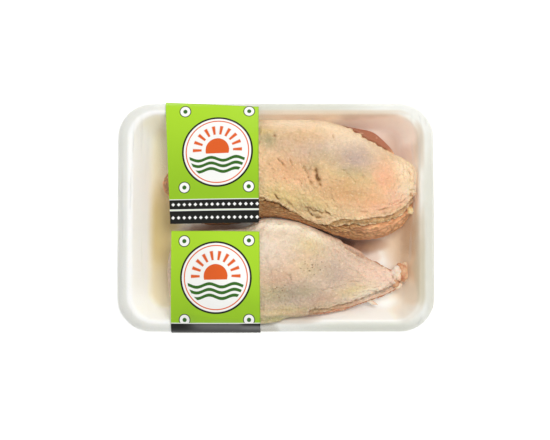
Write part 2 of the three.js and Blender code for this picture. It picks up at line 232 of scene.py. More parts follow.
def ring_faces(rings, around):
    """Faces of a closed body: point 0, then the rings in order, then a last point that closes it."""
    first = np.arange(rings - 1)[:, None] * around + 1
    here = np.arange(around)[None, :]
    beside = (here + 1) % around
    quads = np.stack([first + here, first + here + around, first + beside + around, first + beside], -1)
    start = [[0, 1 + i, 1 + (i + 1) % around] for i in range(around)]
    base = 1 + (rings - 1) * around
    end = [[base + (i + 1) % around, base + i, base + around] for i in range(around)]
    return start + quads.reshape(-1, 4).tolist() + end


def closed_body(name, first, rings, last, material, attributes=None):
    """A closed object from rings of points, one point before them and one after them."""
    every = np.vstack([[first], rings.reshape(-1, 3), [last]])
    return mesh_object(name, every, ring_faces(*rings.shape[:2]), material, attributes)


def grown(name, source, tree, sizes):
    """The plain mesh that a geometry tree makes of an object, as a new object."""
    modifier = source.modifiers.new("grow", "NODES")
    modifier.node_group = tree
    for item in tree.interface.items_tree:
        if item.in_out == "INPUT" and item.name in sizes:
            modifier[item.identifier] = sizes[item.name]
    evaluated = source.evaluated_get(bpy.context.evaluated_depsgraph_get())
    mesh = bpy.data.meshes.new_from_object(evaluated)
    bpy.data.objects.remove(source)
    mesh.name = name
    piece = bpy.data.objects.new(name, mesh)
    bpy.context.scene.collection.objects.link(piece)
    return piece


def lip_height(inset):
    """Height of the lip's upper face over the tray's base: a quarter ellipse from its edge to the crest."""
    across = 1 - np.clip(np.asarray(inset) / CREST_INSET, 0, 1)
    return LIP_EDGE_HEIGHT + (CREST_HEIGHT - LIP_EDGE_HEIGHT) * np.sqrt(1 - across**2)


def rounded(corners, steps=6):
    """A line through corners (x, y, radius), each corner with a radius turned into a short curve."""
    points = [np.array(corners[0][:2])]
    for before, (x, y, radius), after in zip(corners, corners[1:], corners[2:]):
        here = np.array([x, y])
        if not radius:
            points.append(here)
            continue
        for t in np.linspace(0, 1, steps):
            into = (np.array(before[:2]) - here) / np.hypot(*(np.array(before[:2]) - here))
            out = (np.array(after[:2]) - here) / np.hypot(*(np.array(after[:2]) - here))
            points.append(here + into * radius * (1 - t) ** 2 + out * radius * t**2)
    return np.array(points + [np.array(corners[-1][:2])])


SECTION_END = 104.0  # inset of the section's ends, near the tray's middle
MID_FLOOR = 60.0


def tray_section():
    """Insets and heights over the base, from the floor's middle over the lip to the underside's middle."""
    inside = [(inset, FLOOR_THICKNESS, 0) for inset in (SECTION_END, MID_FLOOR)]
    inside += [(25.0, FLOOR_THICKNESS, 6), (CREST_INSET + 0.9, CREST_HEIGHT, 2.6)]
    insets = CREST_INSET * (1 - np.linspace(0.15, 1, 13)) ** 2
    lip = [(inset, float(lip_height(inset)), 0) for inset in insets]
    under = [(0.1, UNDER_LIP, 1.1), (2.6, 16.0, 0.8), (7.4, 21.3, 1.5), (10.6, 20.2, 1.2)]
    under += [(21.9, 0, 3), (MID_FLOOR, 0, 0), (SECTION_END, 0, 0)]
    return rounded(inside + lip + under)


WALLS = (9.5, 14.5)  # insets between which a tint that runs up the wall fades in
FLOOR = (20.0, 27.0)  # the same for a tint that lies on the floor only
LIP = (11.0, 9.0)  # and for a tint of the lip outside the crest
CREST = (6.0, 9.0)  # and for a tint that runs up over the crest
# Tints on the foam, partly juice and mostly painted shade and painted light bounced from the meat: the
# browns on the floor
# between and beside the breasts, the greys on the lip and crest, the tan and pink on the walls and floor
# near the meat, and
# the yellow on the left floor, partly juice and partly painted shade. The cool white on the front floor is
# painted light.
JUICE_AND_PAINTED_SHADE = [  # middle and half sizes of each tint, where it fades, its strength and its colour
    ((100, -10), (19, 46), WALLS, 0.9, (222, 190, 150)),
    ((94, -62), (12, 12), WALLS, 0.5, (240, 220, 190)),
    ((108, 34), (12, 26), WALLS, 0.5, (248, 226, 204)),
    ((30, 76), (60, 12), WALLS, 0.9, (252, 234, 212)),
    ((88, 66), (34, 26), WALLS, 0.65, (252, 228, 210)),
    ((92, 46), (22, 22), FLOOR, 1.0, (212, 188, 170)),
    ((-76, 70), (22, 12), WALLS, 0.6, (244, 236, 208)),
    ((-84, 2), (16, 82), FLOOR, 0.9, (246, 238, 204)),
    ((-84, -8), (13, 32), FLOOR, 1.0, (220, 200, 144)),
    ((-84, -50), (12, 14), FLOOR, 0.7, (226, 212, 176)),
    ((84, -16), (12, 13), WALLS, 0.5, (226, 200, 168)),
    ((102, -40), (5, 9), WALLS, 0.6, (214, 178, 142)),
    ((97, 46), (8, 7), WALLS, 0.35, (202, 158, 128)),
    ((70, -28), (6, 5), FLOOR, 0.5, (226, 190, 160)),
    ((99, -56), (8, 10), WALLS, 0.6, (214, 196, 172)),
    ((99, -14), (8, 14), WALLS, 0.55, (190, 152, 116)),
    ((60, -72), (56, 12), FLOOR, 0.9, (244, 255, 254)),
    ((56, -20), (20, 8), FLOOR, 0.95, (150, 102, 68)),
    ((30, -9), (30, 6), FLOOR, 0.95, (116, 70, 36)),
    ((74, -20), (9, 5), FLOOR, 0.6, (196, 154, 116)),
    ((50, -18), (6, 4), FLOOR, 0.8, (96, 50, 18)),
    ((-44, -9), (24, 6), FLOOR, 0.9, (150, 104, 70)),
    ((72, -82), (50, 9), LIP, 0.7, (218, 219, 206)),
    ((10, 83), (56, 9), LIP, 0.9, (214, 214, 200)),
    ((113, -15), (8, 70), LIP, 0.9, (220, 219, 206)),
    ((-8, -80), (9, 4), LIP, 0.85, (190, 184, 168)),
    ((12, -74.5), (18, 3.5), CREST, 0.6, (196, 178, 158)),
    ((106, -44), (6, 30), CREST, 0.8, (202, 192, 166)),
    ((106, 54), (6, 20), CREST, 0.8, (218, 204, 184)),
    ((106, -10), (6, 18), CREST, 0.7, (206, 194, 170)),
    ((100, -71), (12, 8), CREST, 0.8, (226, 222, 211)),
    ((30, 77), (66, 5), CREST, 0.7, (216, 196, 168)),
]


# The tray's inside glows in its own colour, more along its front wall, though the foam is no lamp: painted
# light.
GLOW = 0.07  # how strongly the inside of the tray glows in its own colour
FRONT_GLOW = 0.05  # and how much more it glows along its front wall


def foam_material():
    """White foam: fine beads, a faint painted glow inside, painted shade and highlights, and tints partly
    of juice.
    """
    material, nodes, surface = new_material("white_foam")
    place = nodes.place()
    beads = nodes.cells(place, 1.3)
    clouds = nodes.noise(place, 22, detail=3)
    wander = nodes.noise(place, 16, detail=2)
    x, y, _ = nodes.parts(place)
    x = x + (wander - 0.5) * 9 * MM
    y = y + (clouds - 0.5) * 9 * MM
    inset = nodes.attribute("inset") / MM
    upper = nodes.attribute("upper")
    inner = nodes.smooth(inset, 8.0, 12.0) * upper
    # The lip outside the crest is painted greyer than the inside: painted shade.
    outer = nodes.mix(clouds, colour(232, 233, 226), colour(240, 240, 234))
    tone = nodes.mix(inner, outer, nodes.mix(clouds, colour(248, 249, 240), colour(252, 252, 246)))
    # A painted highlight along the crest, on the left and front sides.
    near_left = nodes.smooth(x, 60 * MM, 0.0)
    near_front = nodes.smooth(y, -50 * MM, -70 * MM)
    crest = nodes.smooth(abs(inset - 9.5), 3.2, 0.4) * upper * nodes.math("MAXIMUM", near_left, near_front)
    tone = nodes.mix(crest, tone, colour(254, 254, 251))
    for at, half, fade, strength, tint in JUICE_AND_PAINTED_SHADE:
        u = (x - at[0] * MM) / (half[0] * MM)
        v = (y - at[1] * MM) / (half[1] * MM)
        shown = nodes.smooth(u * u + v * v, 1.8, 0.1) * nodes.smooth(inset, *fade) * upper
        tone = nodes.mix(shown * strength, tone, colour(*tint))
    front_glow = nodes.smooth(y, -46 * MM, -60 * MM) * FRONT_GLOW
    glow = nodes.shaded(tone, nodes.smooth(inset, 9.0, 13.0) * upper * (front_glow + GLOW))
    bumps = nodes.bump(beads + clouds * 2, 0.12)
    nodes.fill(surface, {"Base Color": tone, "Roughness": 0.5, "Normal": bumps})
    nodes.fill(surface, {"Emission Color": glow, "Emission Strength": 1.0})
    let_light_in(surface, weight=0.25, depth=2.5, spread=(1, 0.9, 0.75))
    return material


CORNER_STEPS = 24
SIDE_STEPS = {"long": 16, "short": 10}


def around_tray():
    """The corner that each place round the tray turns about, as signs, and its direction from there."""
    corners = [(1, 1, "long"), (-1, 1, "short"), (-1, -1, "long"), (1, -1, "short")]
    signs = []
    turns = []
    for k, (sign_x, sign_y, side) in enumerate(corners):
        for angle in np.linspace(0, 90, CORNER_STEPS + 1) + 90 * k:
            signs.append((sign_x, sign_y, 0))
            turns.append((math.cos(math.radians(angle)), math.sin(math.radians(angle)), 0))
        next_x, next_y, _ = corners[(k + 1) % 4]
        for share in np.linspace(0, 1, SIDE_STEPS[side] + 1)[1:-1]:
            signs.append((sign_x + (next_x - sign_x) * share, sign_y + (next_y - sign_y) * share, 0))
            turns.append(turns[-1])
    return np.array(signs, float), np.array(turns, float)


def half_sizes(inset):
    """Half length, half width and corner radius of the tray's rounded rectangle at an inset."""
    x = TRAY_LENGTH / 2 - inset
    y = TRAY_WIDTH / 2 - inset * SIDE_SHARE
    return x, y, np.minimum(np.maximum(TRAY_CORNER - CORNER_SHARE * inset, SMALLEST_CORNER), y)


TRAY_SIZES = {  # the sizes that the tray's geometry nodes work from, in metres or as shares
    "Length": TRAY_LENGTH * MM,
    "Width": TRAY_WIDTH * MM,
    "Corner": TRAY_CORNER * MM,
    "Side share": SIDE_SHARE,
    "Corner share": CORNER_SHARE,
    "Smallest corner": SMALLEST_CORNER * MM,
    "Base": TRAY_BASE * MM,
}


def tray_tree(material):
    """Places each point of a flat strip on the tray by its inset, its height and its place round it."""
    tree = bpy.data.node_groups.new("tray", "GeometryNodeTree")
    tree.interface.new_socket("Geometry", in_out="INPUT", socket_type="NodeSocketGeometry")
    for name in TRAY_SIZES:
        tree.interface.new_socket(name, in_out="INPUT", socket_type="NodeSocketFloat")
    tree.interface.new_socket("Geometry", in_out="OUTPUT", socket_type="NodeSocketGeometry")
    nodes = Nodes(tree)
    given = nodes.add("NodeGroupInput")

    def named(name, kind="FLOAT"):
        """A number or vector kept on the strip under that name."""
        return nodes.add("GeometryNodeInputNamedAttribute", {"data_type": kind}, {"Name": name}).outputs[0]

    size = {name: Value(nodes, given.outputs[name]) for name in TRAY_SIZES}
    inset = Value(nodes, named("inset"))
    half_x = size["Length"] / 2 - inset
    half_y = size["Width"] / 2 - inset * size["Side share"]
    shrunk = nodes.math("MAXIMUM", size["Corner"] - inset * size["Corner share"], size["Smallest corner"])
    radius = nodes.math("MINIMUM", shrunk, half_y)
    centre = nodes.combined(X=half_x - radius, Y=half_y - radius)
    corner = nodes.vector("MULTIPLY", named("corner", "FLOAT_VECTOR"), centre)
    turn = nodes.vector("MULTIPLY", named("turn", "FLOAT_VECTOR"), nodes.combined(X=radius, Y=radius))
    up = nodes.combined(Z=Value(nodes, named("height")) + size["Base"])
    position = nodes.vector("ADD", nodes.vector("ADD", corner, turn), up)
    inputs = {"Geometry": given.outputs["Geometry"], "Position": position}
    placed = nodes.add("GeometryNodeSetPosition", {}, inputs)
    realized = nodes.add("GeometryNodeRealizeInstances", {}, {"Geometry": placed.outputs[0]})
    inputs = {"Geometry": realized.outputs[0], "Material": material}
    painted = nodes.add("GeometryNodeSetMaterial", {}, inputs)
    nodes.add("NodeGroupOutput", {}, {0: painted.outputs[0]})
    return tree


def make_tray():
    """The tray, grown by its geometry nodes from a strip whose points carry their insets and heights."""
    section = tray_section()
    signs, turns = around_tray()
    rings, around = len(section), len(signs)
    on_top = np.arange(rings) <= np.argmin(section[:, 0])
    along_section = {  # the first end, each ring, and the last end
        "inset": ([TRAY_LENGTH / 2 * MM], section[:, 0] * MM, [TRAY_LENGTH / 2 * MM]),
        "height": ([FLOOR_THICKNESS * MM], section[:, 1] * MM, [0]),
        "upper": ([1], on_top.astype(float), [0]),
    }
    attributes = {}
    for key, (first, every, last) in along_section.items():
        attributes[key] = np.concatenate([first, np.repeat(every, around), last])
    for key, vectors in {"corner": signs, "turn": turns}.items():
        attributes[key] = np.vstack([np.zeros((1, 3)), np.tile(vectors, (rings, 1)), np.zeros((1, 3))])
    points = np.zeros((rings * around + 2, 3))
    strip = mesh_object("tray_strip", points, ring_faces(rings, around), attributes=attributes)
    return grown("foam_tray", strip, tray_tree(foam_material()), TRAY_SIZES)


tray = make_tray()
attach(tray, "root")
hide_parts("tray")

# The flesh of the two breasts
# Raw muscle, orange-pink and fibrous. Most of it is under the skin, and it shows along the front side of
# the back breast, at its back right corner, and at the front breast's tip. Both lie on the tray's floor.

REST = TRAY_BASE + FLOOR_THICKNESS + CLEARANCE
WALL_GAP = 1.2  # how far the meat stays clear of the tray
LOW_WIDEST = 17.0  # height of the widest line, away from the tray's walls
HIGH_WIDEST = TRAY_BASE + CREST_HEIGHT + 4  # where a side bulges over the tray's crest
VALLEY = [(-78, -12), (-46, -8), (-10, -1.5), (14, -3), (36, -11.4), (50, -16)]  # where the breasts meet
VALLEY_WIDEST = 27.0
NEAR_CREST = (-8, -2)  # distances outside the crest between which a side begins to bulge over it
NEAR_VALLEY = (9, 3)  # distances from the valley's line between which its sides rise
VALLEY_END = (58, 44)  # and the X between which the valley begins
WIDEST_SHARE = 0.55  # and it is at most this share of the breast's height
ON_WALL = 2.2  # meat lying on the wall is at least this much over it
CREST_BACK = 2.2  # how far inside the crest a low side stays
WALL_SLOPE = (WALL_TOP[1] - WALL_FOOT[1]) / (WALL_FOOT[0] - WALL_TOP[0])
EDGE_ROUNDING = 1 / 2.1
FLESH_INSIDE = 3.2  # how far the flesh's outline stays inside the skin's where it is covered
FLESH_TOP = 0.72  # the bare flesh's crown is this share of the skin's height
UNDER_PATH = 0.3  # how far a path down the side runs on under the widest line
UNDER_TUCK = 0.14  # and the share of its reach by which it tucks in there
COVERED_DEPTH = 3.2  # how far the flesh lies under the skin that covers it
FLESH_REST = REST - 0.1

BACK = {
    "name": "back",
    "outline": [
        (102, 22), (101.8, 32), (98.4, 38.3), (92.5, 42.8), (86.8, 45.4), (81.6, 48.6), (73.8, 54.0),
        (63.6, 60.8), (50, 66.2), (32, 69.6), (4, 70), (-26, 69), (-52, 64.5), (-70, 51), (-77, 34),
        (-76, 14), (-62, -2), (-36, -6), (-10, -1.0), (2, -0.8), (13.5, -2.9), (24, -6.1), (32, -9.1),
        (40.5, -12.7), (50, -15.2), (58, -16.2), (66.5, -16.2), (77, -14.6), (85, -11), (92, -6.2),
        (95.5, -1.5), (98.8, 5), (101, 14),
    ],
    "middle": (16, 30),
    "crown": [(-75, 36), (-20, 45), (45, 49.5), (104, 41)],
    "shoulder": [(-180, 2.7), (50, 2.7), (80, 3.4), (130, 3.4), (160, 2.7), (180, 2.7)],
    "flesh_line": [  # the flesh's own outline where it stands out past the skin
        (44, 64.4), (50, 65.6), (55, 65.2), (60.5, 64.2), (67, 63.4), (72.0, 61.2), (75.6, 58), (79.4, 54),
        (83.4, 49.8), (86, 46),
    ],
    "flesh_knobs": [(-72, 24, 10)],  # middle and radius of a rounded end
    "torn": [  # direction, and how ragged the skin's edge is
        (-180, 1), (-150, 1), (-140, 2.2), (-100, 2.2), (-90, 1), (-66, 1), (-58, 2), (-20, 2), (-12, 1),
        (12, 1), (18, 5), (42, 5), (50, 1),
    ],
    "skin_edge": [  # direction, and how far out the skin ends as a share of the outline
        (-150, 0.46), (-146, 0.48), (-136, 0.59), (-124, 0.68), (-103, 0.79), (-89, 0.85), (-80, 0.93),
        (-73, 0.95), (-64, 0.90), (-54, 0.75), (-46, 0.70), (-39, 0.73), (-32, 0.74), (-30, 0.76),
        (-25, 0.83), (-22, 0.88), (-17, 0.91), (-12, 0.96), (-8, 0.98), (-4, 1.15), (0, 1.2), (7, 1.2),
        (9, 1.1), (13, 0.965), (17, 0.955), (21, 0.935), (25, 0.945), (27, 0.905), (29, 0.89),
        (32, 0.91), (36, 0.935), (40, 0.945), (45, 0.95), (50, 0.98), (55, 1.06), (62, 1.15), (120, 1.2),
        (150, 1.15), (170, 0.97), (185, 0.9), (200, 0.7),
    ],
    "under_edge": [  # the same for the layer of fat and skin under it
        (-150, 0.5), (-136, 0.62), (-124, 0.73), (-103, 0.84), (-89, 0.89), (-80, 0.95), (-70, 0.96),
        (-60, 0.9), (-50, 0.80), (-39, 0.83), (-30, 0.87), (-22, 0.94), (-15, 0.98), (-10, 0.97),
        (-6, 0.9), (12, 0.88), (46, 0.9), (60, 0.9), (120, 0.9), (170, 0.85), (200, 0.6),
    ],
}
FRONT = {
    "name": "front",
    "outline": [
        (91, -45), (89.5, -40), (86.4, -39.2), (79.6, -36.2), (73.5, -32.4), (66, -27.6), (61.5, -23),
        (48, -17.0), (36.9, -12.4), (31.7, -10.0), (22.2, -6.2), (13.5, -3.5), (2.2, -1.8), (-10.5, -2.0),
        (-24, -8.4), (-46, -10), (-68, -13), (-77, -27), (-78, -46), (-74, -64), (-60, -74.5),
        (-36, -76.0), (-10, -76.9), (-3, -76.2), (3, -75.0), (8.5, -72.9), (20, -71.6), (38, -69.2),
        (54, -65.6), (66, -61.6), (78, -57.2), (87, -52.6),
    ],
    "middle": (-14, -41),
    "crown": [(-78, 37), (-35, 46), (15, 42), (60, 30), (98, 25)],
    "shoulder": [(-180, 2.5), (15, 2.5), (35, 4.5), (100, 5.0), (125, 3.0), (180, 2.5)],
    "flesh_line": [],
    "flesh_knobs": [],
    "torn": [(-180, 1), (0, 1)],
    "skin_edge": [
        (-120, 1.2), (-60, 1.2), (-48, 1.15), (-42, 1.04), (-39, 0.99), (-37.5, 0.98), (-36, 0.85),
        (-31, 0.865), (-24, 0.89), (-19, 0.90), (-13, 0.90), (-9, 0.885), (-6, 0.91), (-3.5, 0.975),
        (-1, 0.985), (1.5, 0.975), (3, 0.965), (5, 0.985), (7, 0.97), (10, 0.89), (14, 0.875), (18, 0.9),
        (21, 0.99), (25, 1.1), (60, 1.2), (120, 1.2), (180, 1.15),
    ],
    "under_edge": [
        (-120, 0.8), (-60, 0.85), (-42, 0.9), (-36, 0.97), (-30, 0.985), (-22, 0.995), (-16, 1.02),
        (-6, 1.03), (-3, 0.97), (0, 0.93), (3, 0.93), (6, 1.0), (9, 1.05), (17, 1.07), (22, 1.0), (30, 0.9),
        (60, 0.8),
    ],
}


def distance_to(inset, x, y):
    """Distance outside (positive) or inside (negative) the tray's rounded rectangle at an inset."""
    half_x, half_y, radius = half_sizes(inset)
    out_x = np.abs(x) - half_x + radius
    out_y = np.abs(y) - half_y + radius
    outside = np.hypot(np.maximum(out_x, 0), np.maximum(out_y, 0))
    return outside + np.minimum(np.maximum(out_x, out_y), 0) - radius


LEAST_INSET = -5.0
HALVINGS = 18  # how often the search for an inset halves its span


def inset_of(x, y, most):
    """The inset whose rounded rectangle passes through a place, up to the most asked for."""
    low = np.full(np.shape(x), LEAST_INSET)
    high = np.full(np.shape(x), float(most))
    for _ in range(HALVINGS):
        middle = (low + high) / 2
        inside = distance_to(middle, x, y) < 0
        low = np.where(inside, middle, low)
        high = np.where(inside, high, middle)
    return (low + high) / 2


def smoothstep(value, low, high):
    """0 at low, 1 at high, and a smooth curve between. Low may be the larger of the two."""
    t = np.clip((value - low) / (high - low), 0, 1)
    return t * t * (3 - 2 * t)


NOISE_SIZE = 64  # points a side of a table of random numbers


def noise(x, y, seed, period=NOISE_SIZE):
    """Smooth noise of the gradient kind, about -0.7 to 0.7, one lump a unit, repeating along X."""
    angle = np.random.default_rng(seed).random((max(period, NOISE_SIZE), NOISE_SIZE)) * 2 * math.pi
    i, j = np.floor(x).astype(int), np.floor(y).astype(int)
    u, v = x - i, y - j

    def pull(right, up):
        """How strongly one corner of a place's square pulls there."""
        turn = angle[(i + right) % period, (j + up) % NOISE_SIZE]
        return np.cos(turn) * (u - right) + np.sin(turn) * (v - up)

    fade_u, fade_v = [t**3 * (t * (6 * t - 15) + 10) for t in (u, v)]
    low = pull(0, 0) + (pull(1, 0) - pull(0, 0)) * fade_u
    high = pull(0, 1) + (pull(1, 1) - pull(0, 1)) * fade_u
    return low + (high - low) * fade_v


def layered(x, y, layers):
    """Lumps of several sizes added up, from the height, size and seed of each."""
    return sum(height * noise(x / size, y / size, seed) for height, size, seed in layers)


def strayed(x, y, far, size, seed):
    """A place moved about by lumps of that size, to keep what is drawn there uneven."""
    return x + far * noise(x / size, y / size, seed), y + far * noise(x / size, y / size, seed + 1)


def closed_curve(points, steps=60):
    """Points along a smooth closed curve through the given ones."""
    here = np.array(points, float)
    before, after, beyond = np.roll(here, 1, 0), np.roll(here, -1, 0), np.roll(here, -2, 0)
    leave, arrive = (after - before) / 2, (beyond - here) / 2
    t = np.linspace(0, 1, steps, endpoint=False)[:, None, None]
    bend = 3 * (after - here) - 2 * leave - arrive
    curve = here + leave * t + bend * t**2 + (2 * (here - after) + leave + arrive) * t**3
    return curve.transpose(1, 0, 2).reshape(-1, 2)


def outline_radius(breast, direction):
    """How far the outline is from the breast's middle in each direction."""
    curve = closed_curve(breast["outline"]) - breast["middle"]
    angles = np.arctan2(curve[:, 1], curve[:, 0])
    return np.interp(direction, angles, np.hypot(curve[:, 0], curve[:, 1]), period=2 * math.pi)


def even_directions(breast, count):
    """Directions from the middle to places spaced evenly along the outline."""
    curve = closed_curve(breast["outline"]) - breast["middle"]
    curve = np.vstack([curve, curve[:1]])
    along = np.concatenate([[0], np.cumsum(np.hypot(*np.diff(curve, axis=0).T))])
    wanted = np.linspace(0, along[-1], count, endpoint=False)
    x, y = (np.interp(wanted, along, curve[:, k]) for k in (0, 1))
    return np.arctan2(y, x), wanted


def smoothed_ring(ring, rounds):
    """A closed line of points with its sharp turns softened."""
    for _ in range(rounds):
        ring = (np.roll(ring, 1, 0) + np.roll(ring, -1, 0) + 2 * ring) / 4
    return ring


def smoothed(points, rounds=8):
    """A grid of points, rings by directions, with sharp folds softened. Its first ring stays."""
    for _ in range(rounds):
        beside = (np.roll(points, 1, 1) + np.roll(points, -1, 1))[1:-1]
        inner = (beside + points[:-2] + points[2:]) / 4
        points = np.concatenate([points[:1], inner, smoothed_ring(points[-1], 1)[None]])
    return points


def ridge_height(breast, x):
    """Height of the breast's ridge along X, smoothly between the listed places."""
    places, heights = np.array(breast["crown"]).T
    k = np.clip(np.searchsorted(places, x, side="right") - 1, 0, len(places) - 2)
    return heights[k] + (heights[k + 1] - heights[k]) * smoothstep(x, places[k], places[k + 1])


def widest_height(x, y, top):
    """Height of the widest line: low over the floor, higher at the wall, the crest and the valley."""
    near_crest = smoothstep(distance_to(CREST_INSET, x, y), *NEAR_CREST)
    valley_y = np.interp(x, *np.array(VALLEY).T)
    near_valley = smoothstep(np.abs(y - valley_y), *NEAR_VALLEY) * smoothstep(x, *VALLEY_END)
    low = LOW_WIDEST + (HIGH_WIDEST - LOW_WIDEST) * near_crest
    low = np.maximum(low, LOW_WIDEST + (VALLEY_WIDEST - LOW_WIDEST) * near_valley)
    low = np.minimum(low, REST + WIDEST_SHARE * (top - REST))
    up_wall = (WALL_FOOT[0] - inset_of(x, y, WALL_FOOT[0])) * WALL_SLOPE
    return np.maximum(low, TRAY_BASE + WALL_FOOT[1] + up_wall + ON_WALL)


def dome_height(breast, share, x, y, top_share):
    """Height of the dome at a share of the way out to its outline. A high shoulder keeps it flat longer."""
    top = REST + (ridge_height(breast, x) - REST) * top_share
    widest = widest_height(x, y, top)
    turn = np.degrees(np.arctan2(y - breast["middle"][1], x - breast["middle"][0]))
    power = np.interp(turn, *np.array(breast["shoulder"]).T)
    rise = (1 - np.clip(share, 0, 1) ** power) ** EDGE_ROUNDING
    lumps = 0.9 * np.sin(x / 9 + 0.6) * np.sin(y / 8 + x / 30) + 0.5 * np.sin(x / 4.8 - y / 6.5)
    return widest + (top - widest + lumps * top_share) * rise


def keep_off_tray(points):
    """Moves points in from the tray's wall, crest and lip, where they would touch them."""
    x, y, z = np.moveaxis(points, -1, 0)
    height = z - TRAY_BASE - WALL_GAP
    on_wall = np.minimum(WALL_FOOT[0] - (height - WALL_FOOT[1]) / WALL_SLOPE, FLOOR_INSET)
    inset = np.where(height > WALL_TOP[1], CREST_INSET + CREST_BACK, on_wall)
    outside = distance_to(inset, x, y) + WALL_GAP
    push = np.where((height <= CREST_HEIGHT) & (outside > 0), outside, 0)
    step = 0.01
    slope_x = (distance_to(inset, x + step, y) - distance_to(inset, x, y)) / step
    slope_y = (distance_to(inset, x, y + step) - distance_to(inset, x, y)) / step
    return np.stack([x - slope_x * push, y - slope_y * push, z], -1)


def path_share(path):
    """How far out a path down the side is: 0 at the crown, 1 at the widest line, then tucked in."""
    under = np.clip((path - 1) / UNDER_PATH, 0, 1)
    return np.where(path < 1, np.sin(np.clip(path, 0, 1) * math.pi / 2), 1 - UNDER_TUCK * under**2)


def side_path(share):
    """The path whose share is given; shares over 1 run on under the widest line."""
    share = np.asarray(share, float)
    over = np.arcsin(np.clip(share, 0, 1)) * 2 / math.pi
    return np.where(share > 1, share, over)


def torn_at(breast, direction):
    """How ragged the skin's cut edge is in each direction."""
    return np.interp(np.degrees(direction), *np.array(breast["torn"]).T, period=360)


RAGGED = ((0.016, 7), (0.014, 25), (0.008, 70))  # how far a cut edge strays, and how often in a turn


def skin_end(breast, direction, layer="skin_edge"):
    """The path at which a layer of skin ends in each direction, with an edge more ragged in some."""
    angles, shares = np.array(breast[layer]).T
    turn = np.arange(-180, 180)
    sharp = np.interp(turn, angles, side_path(shares), period=360)
    soft = sum(np.roll(sharp, k) for k in (-2, -1, 0, 1, 2)) / 5
    end = np.interp(np.degrees(direction), turn, soft, period=360)
    seed = 11 if layer == "skin_edge" else 16
    ragged = sum(
        far * noise(direction * often, direction * 0, seed + k) for k, (far, often) in enumerate(RAGGED)
    )
    return end + ragged * (torn_at(breast, direction) if layer == "skin_edge" else 2.2)


def unit(vectors, least=0.0):
    """Vectors brought to a length of 1. A small least keeps one of no length from dividing by 0."""
    return vectors / (np.linalg.norm(vectors, axis=-1, keepdims=True) + least)


def normals_of(points):
    """Outward normals of a grid of points, rings by directions."""
    beside = np.roll(points, -1, 1) - np.roll(points, 1, 1)
    return unit(np.cross(np.gradient(points, axis=0), beside), 1e-9)


def dome_points(breast, radius, direction, path, top_share, also=None):
    """Points of a dome on paths down from its crown, over its widest line and under to where it rests."""
    share = path_share(path)
    cx, cy = breast["middle"]
    x = cx + share * radius * np.cos(direction)
    y = cy + share * radius * np.sin(direction)
    z = dome_height(breast, share, x, y, top_share)
    if also is not None:
        z = np.maximum(z, also(share * radius, x, y))
    under = np.clip((path - 1) / UNDER_PATH, 0, 1)
    widest = dome_height(breast, 1, x, y, top_share)
    z = np.where(path < 1, z, REST + (widest - REST) * (1 - under))
    return keep_off_tray(np.stack([x, y, z], -1))


FLESH_AROUND = 600
FLESH_RINGS = 110
PATH_LENGTH = 60.0  # about how long a path down a side is, in millimetres


def lumps_between(turn, down, seed, count=120, size=3.0):
    """Lumps of tissue with creases between them: 1 in a crease and 0 on a lump."""
    field = noise(turn * count, down / size, seed, count) + 0.35 * noise(turn * 60, down / 5, seed + 1, 60)
    return np.clip(1 - np.abs(field) * 4, 0, 1)


def flesh_line(breast):
    """Directions and distances from the breast's middle to the line where its flesh stands out."""
    dx, dy = (np.array(breast["flesh_line"]) - breast["middle"])[::-1].T
    return np.arctan2(dy, dx), np.hypot(dx, dy)


def strip_mask(breast, direction):
    """1 in the directions where the flesh stands out past the skin, and 0 elsewhere."""
    if not breast["flesh_line"]:
        return 0 * direction
    turn = flesh_line(breast)[0]
    return smoothstep(direction, turn[0], turn[0] + 0.08) * smoothstep(direction, turn[-1], turn[-1] - 0.08)


def flesh_radius(breast, direction):
    """The flesh's own outline: the skin's where it is bare, just inside it elsewhere, and what shows."""
    outer = outline_radius(breast, direction)
    bare = smoothstep(skin_end(breast, direction), 0.98, 0.88)
    radius = outer - FLESH_INSIDE * (1 - bare)
    if breast["flesh_line"]:
        radius = np.maximum(radius, np.interp(direction, *flesh_line(breast), left=0, right=0))
    for x, y, size in breast["flesh_knobs"]:
        dx, dy = x - breast["middle"][0], y - breast["middle"][1]
        ahead = dx * np.cos(direction) + dy * np.sin(direction)
        beside = dy * np.cos(direction) - dx * np.sin(direction)
        far = ahead + np.sqrt(np.clip(size**2 - beside**2, 0, None))
        radius = np.where(np.abs(beside) < size, np.maximum(radius, far * (ahead > 0)), radius)
    return radius


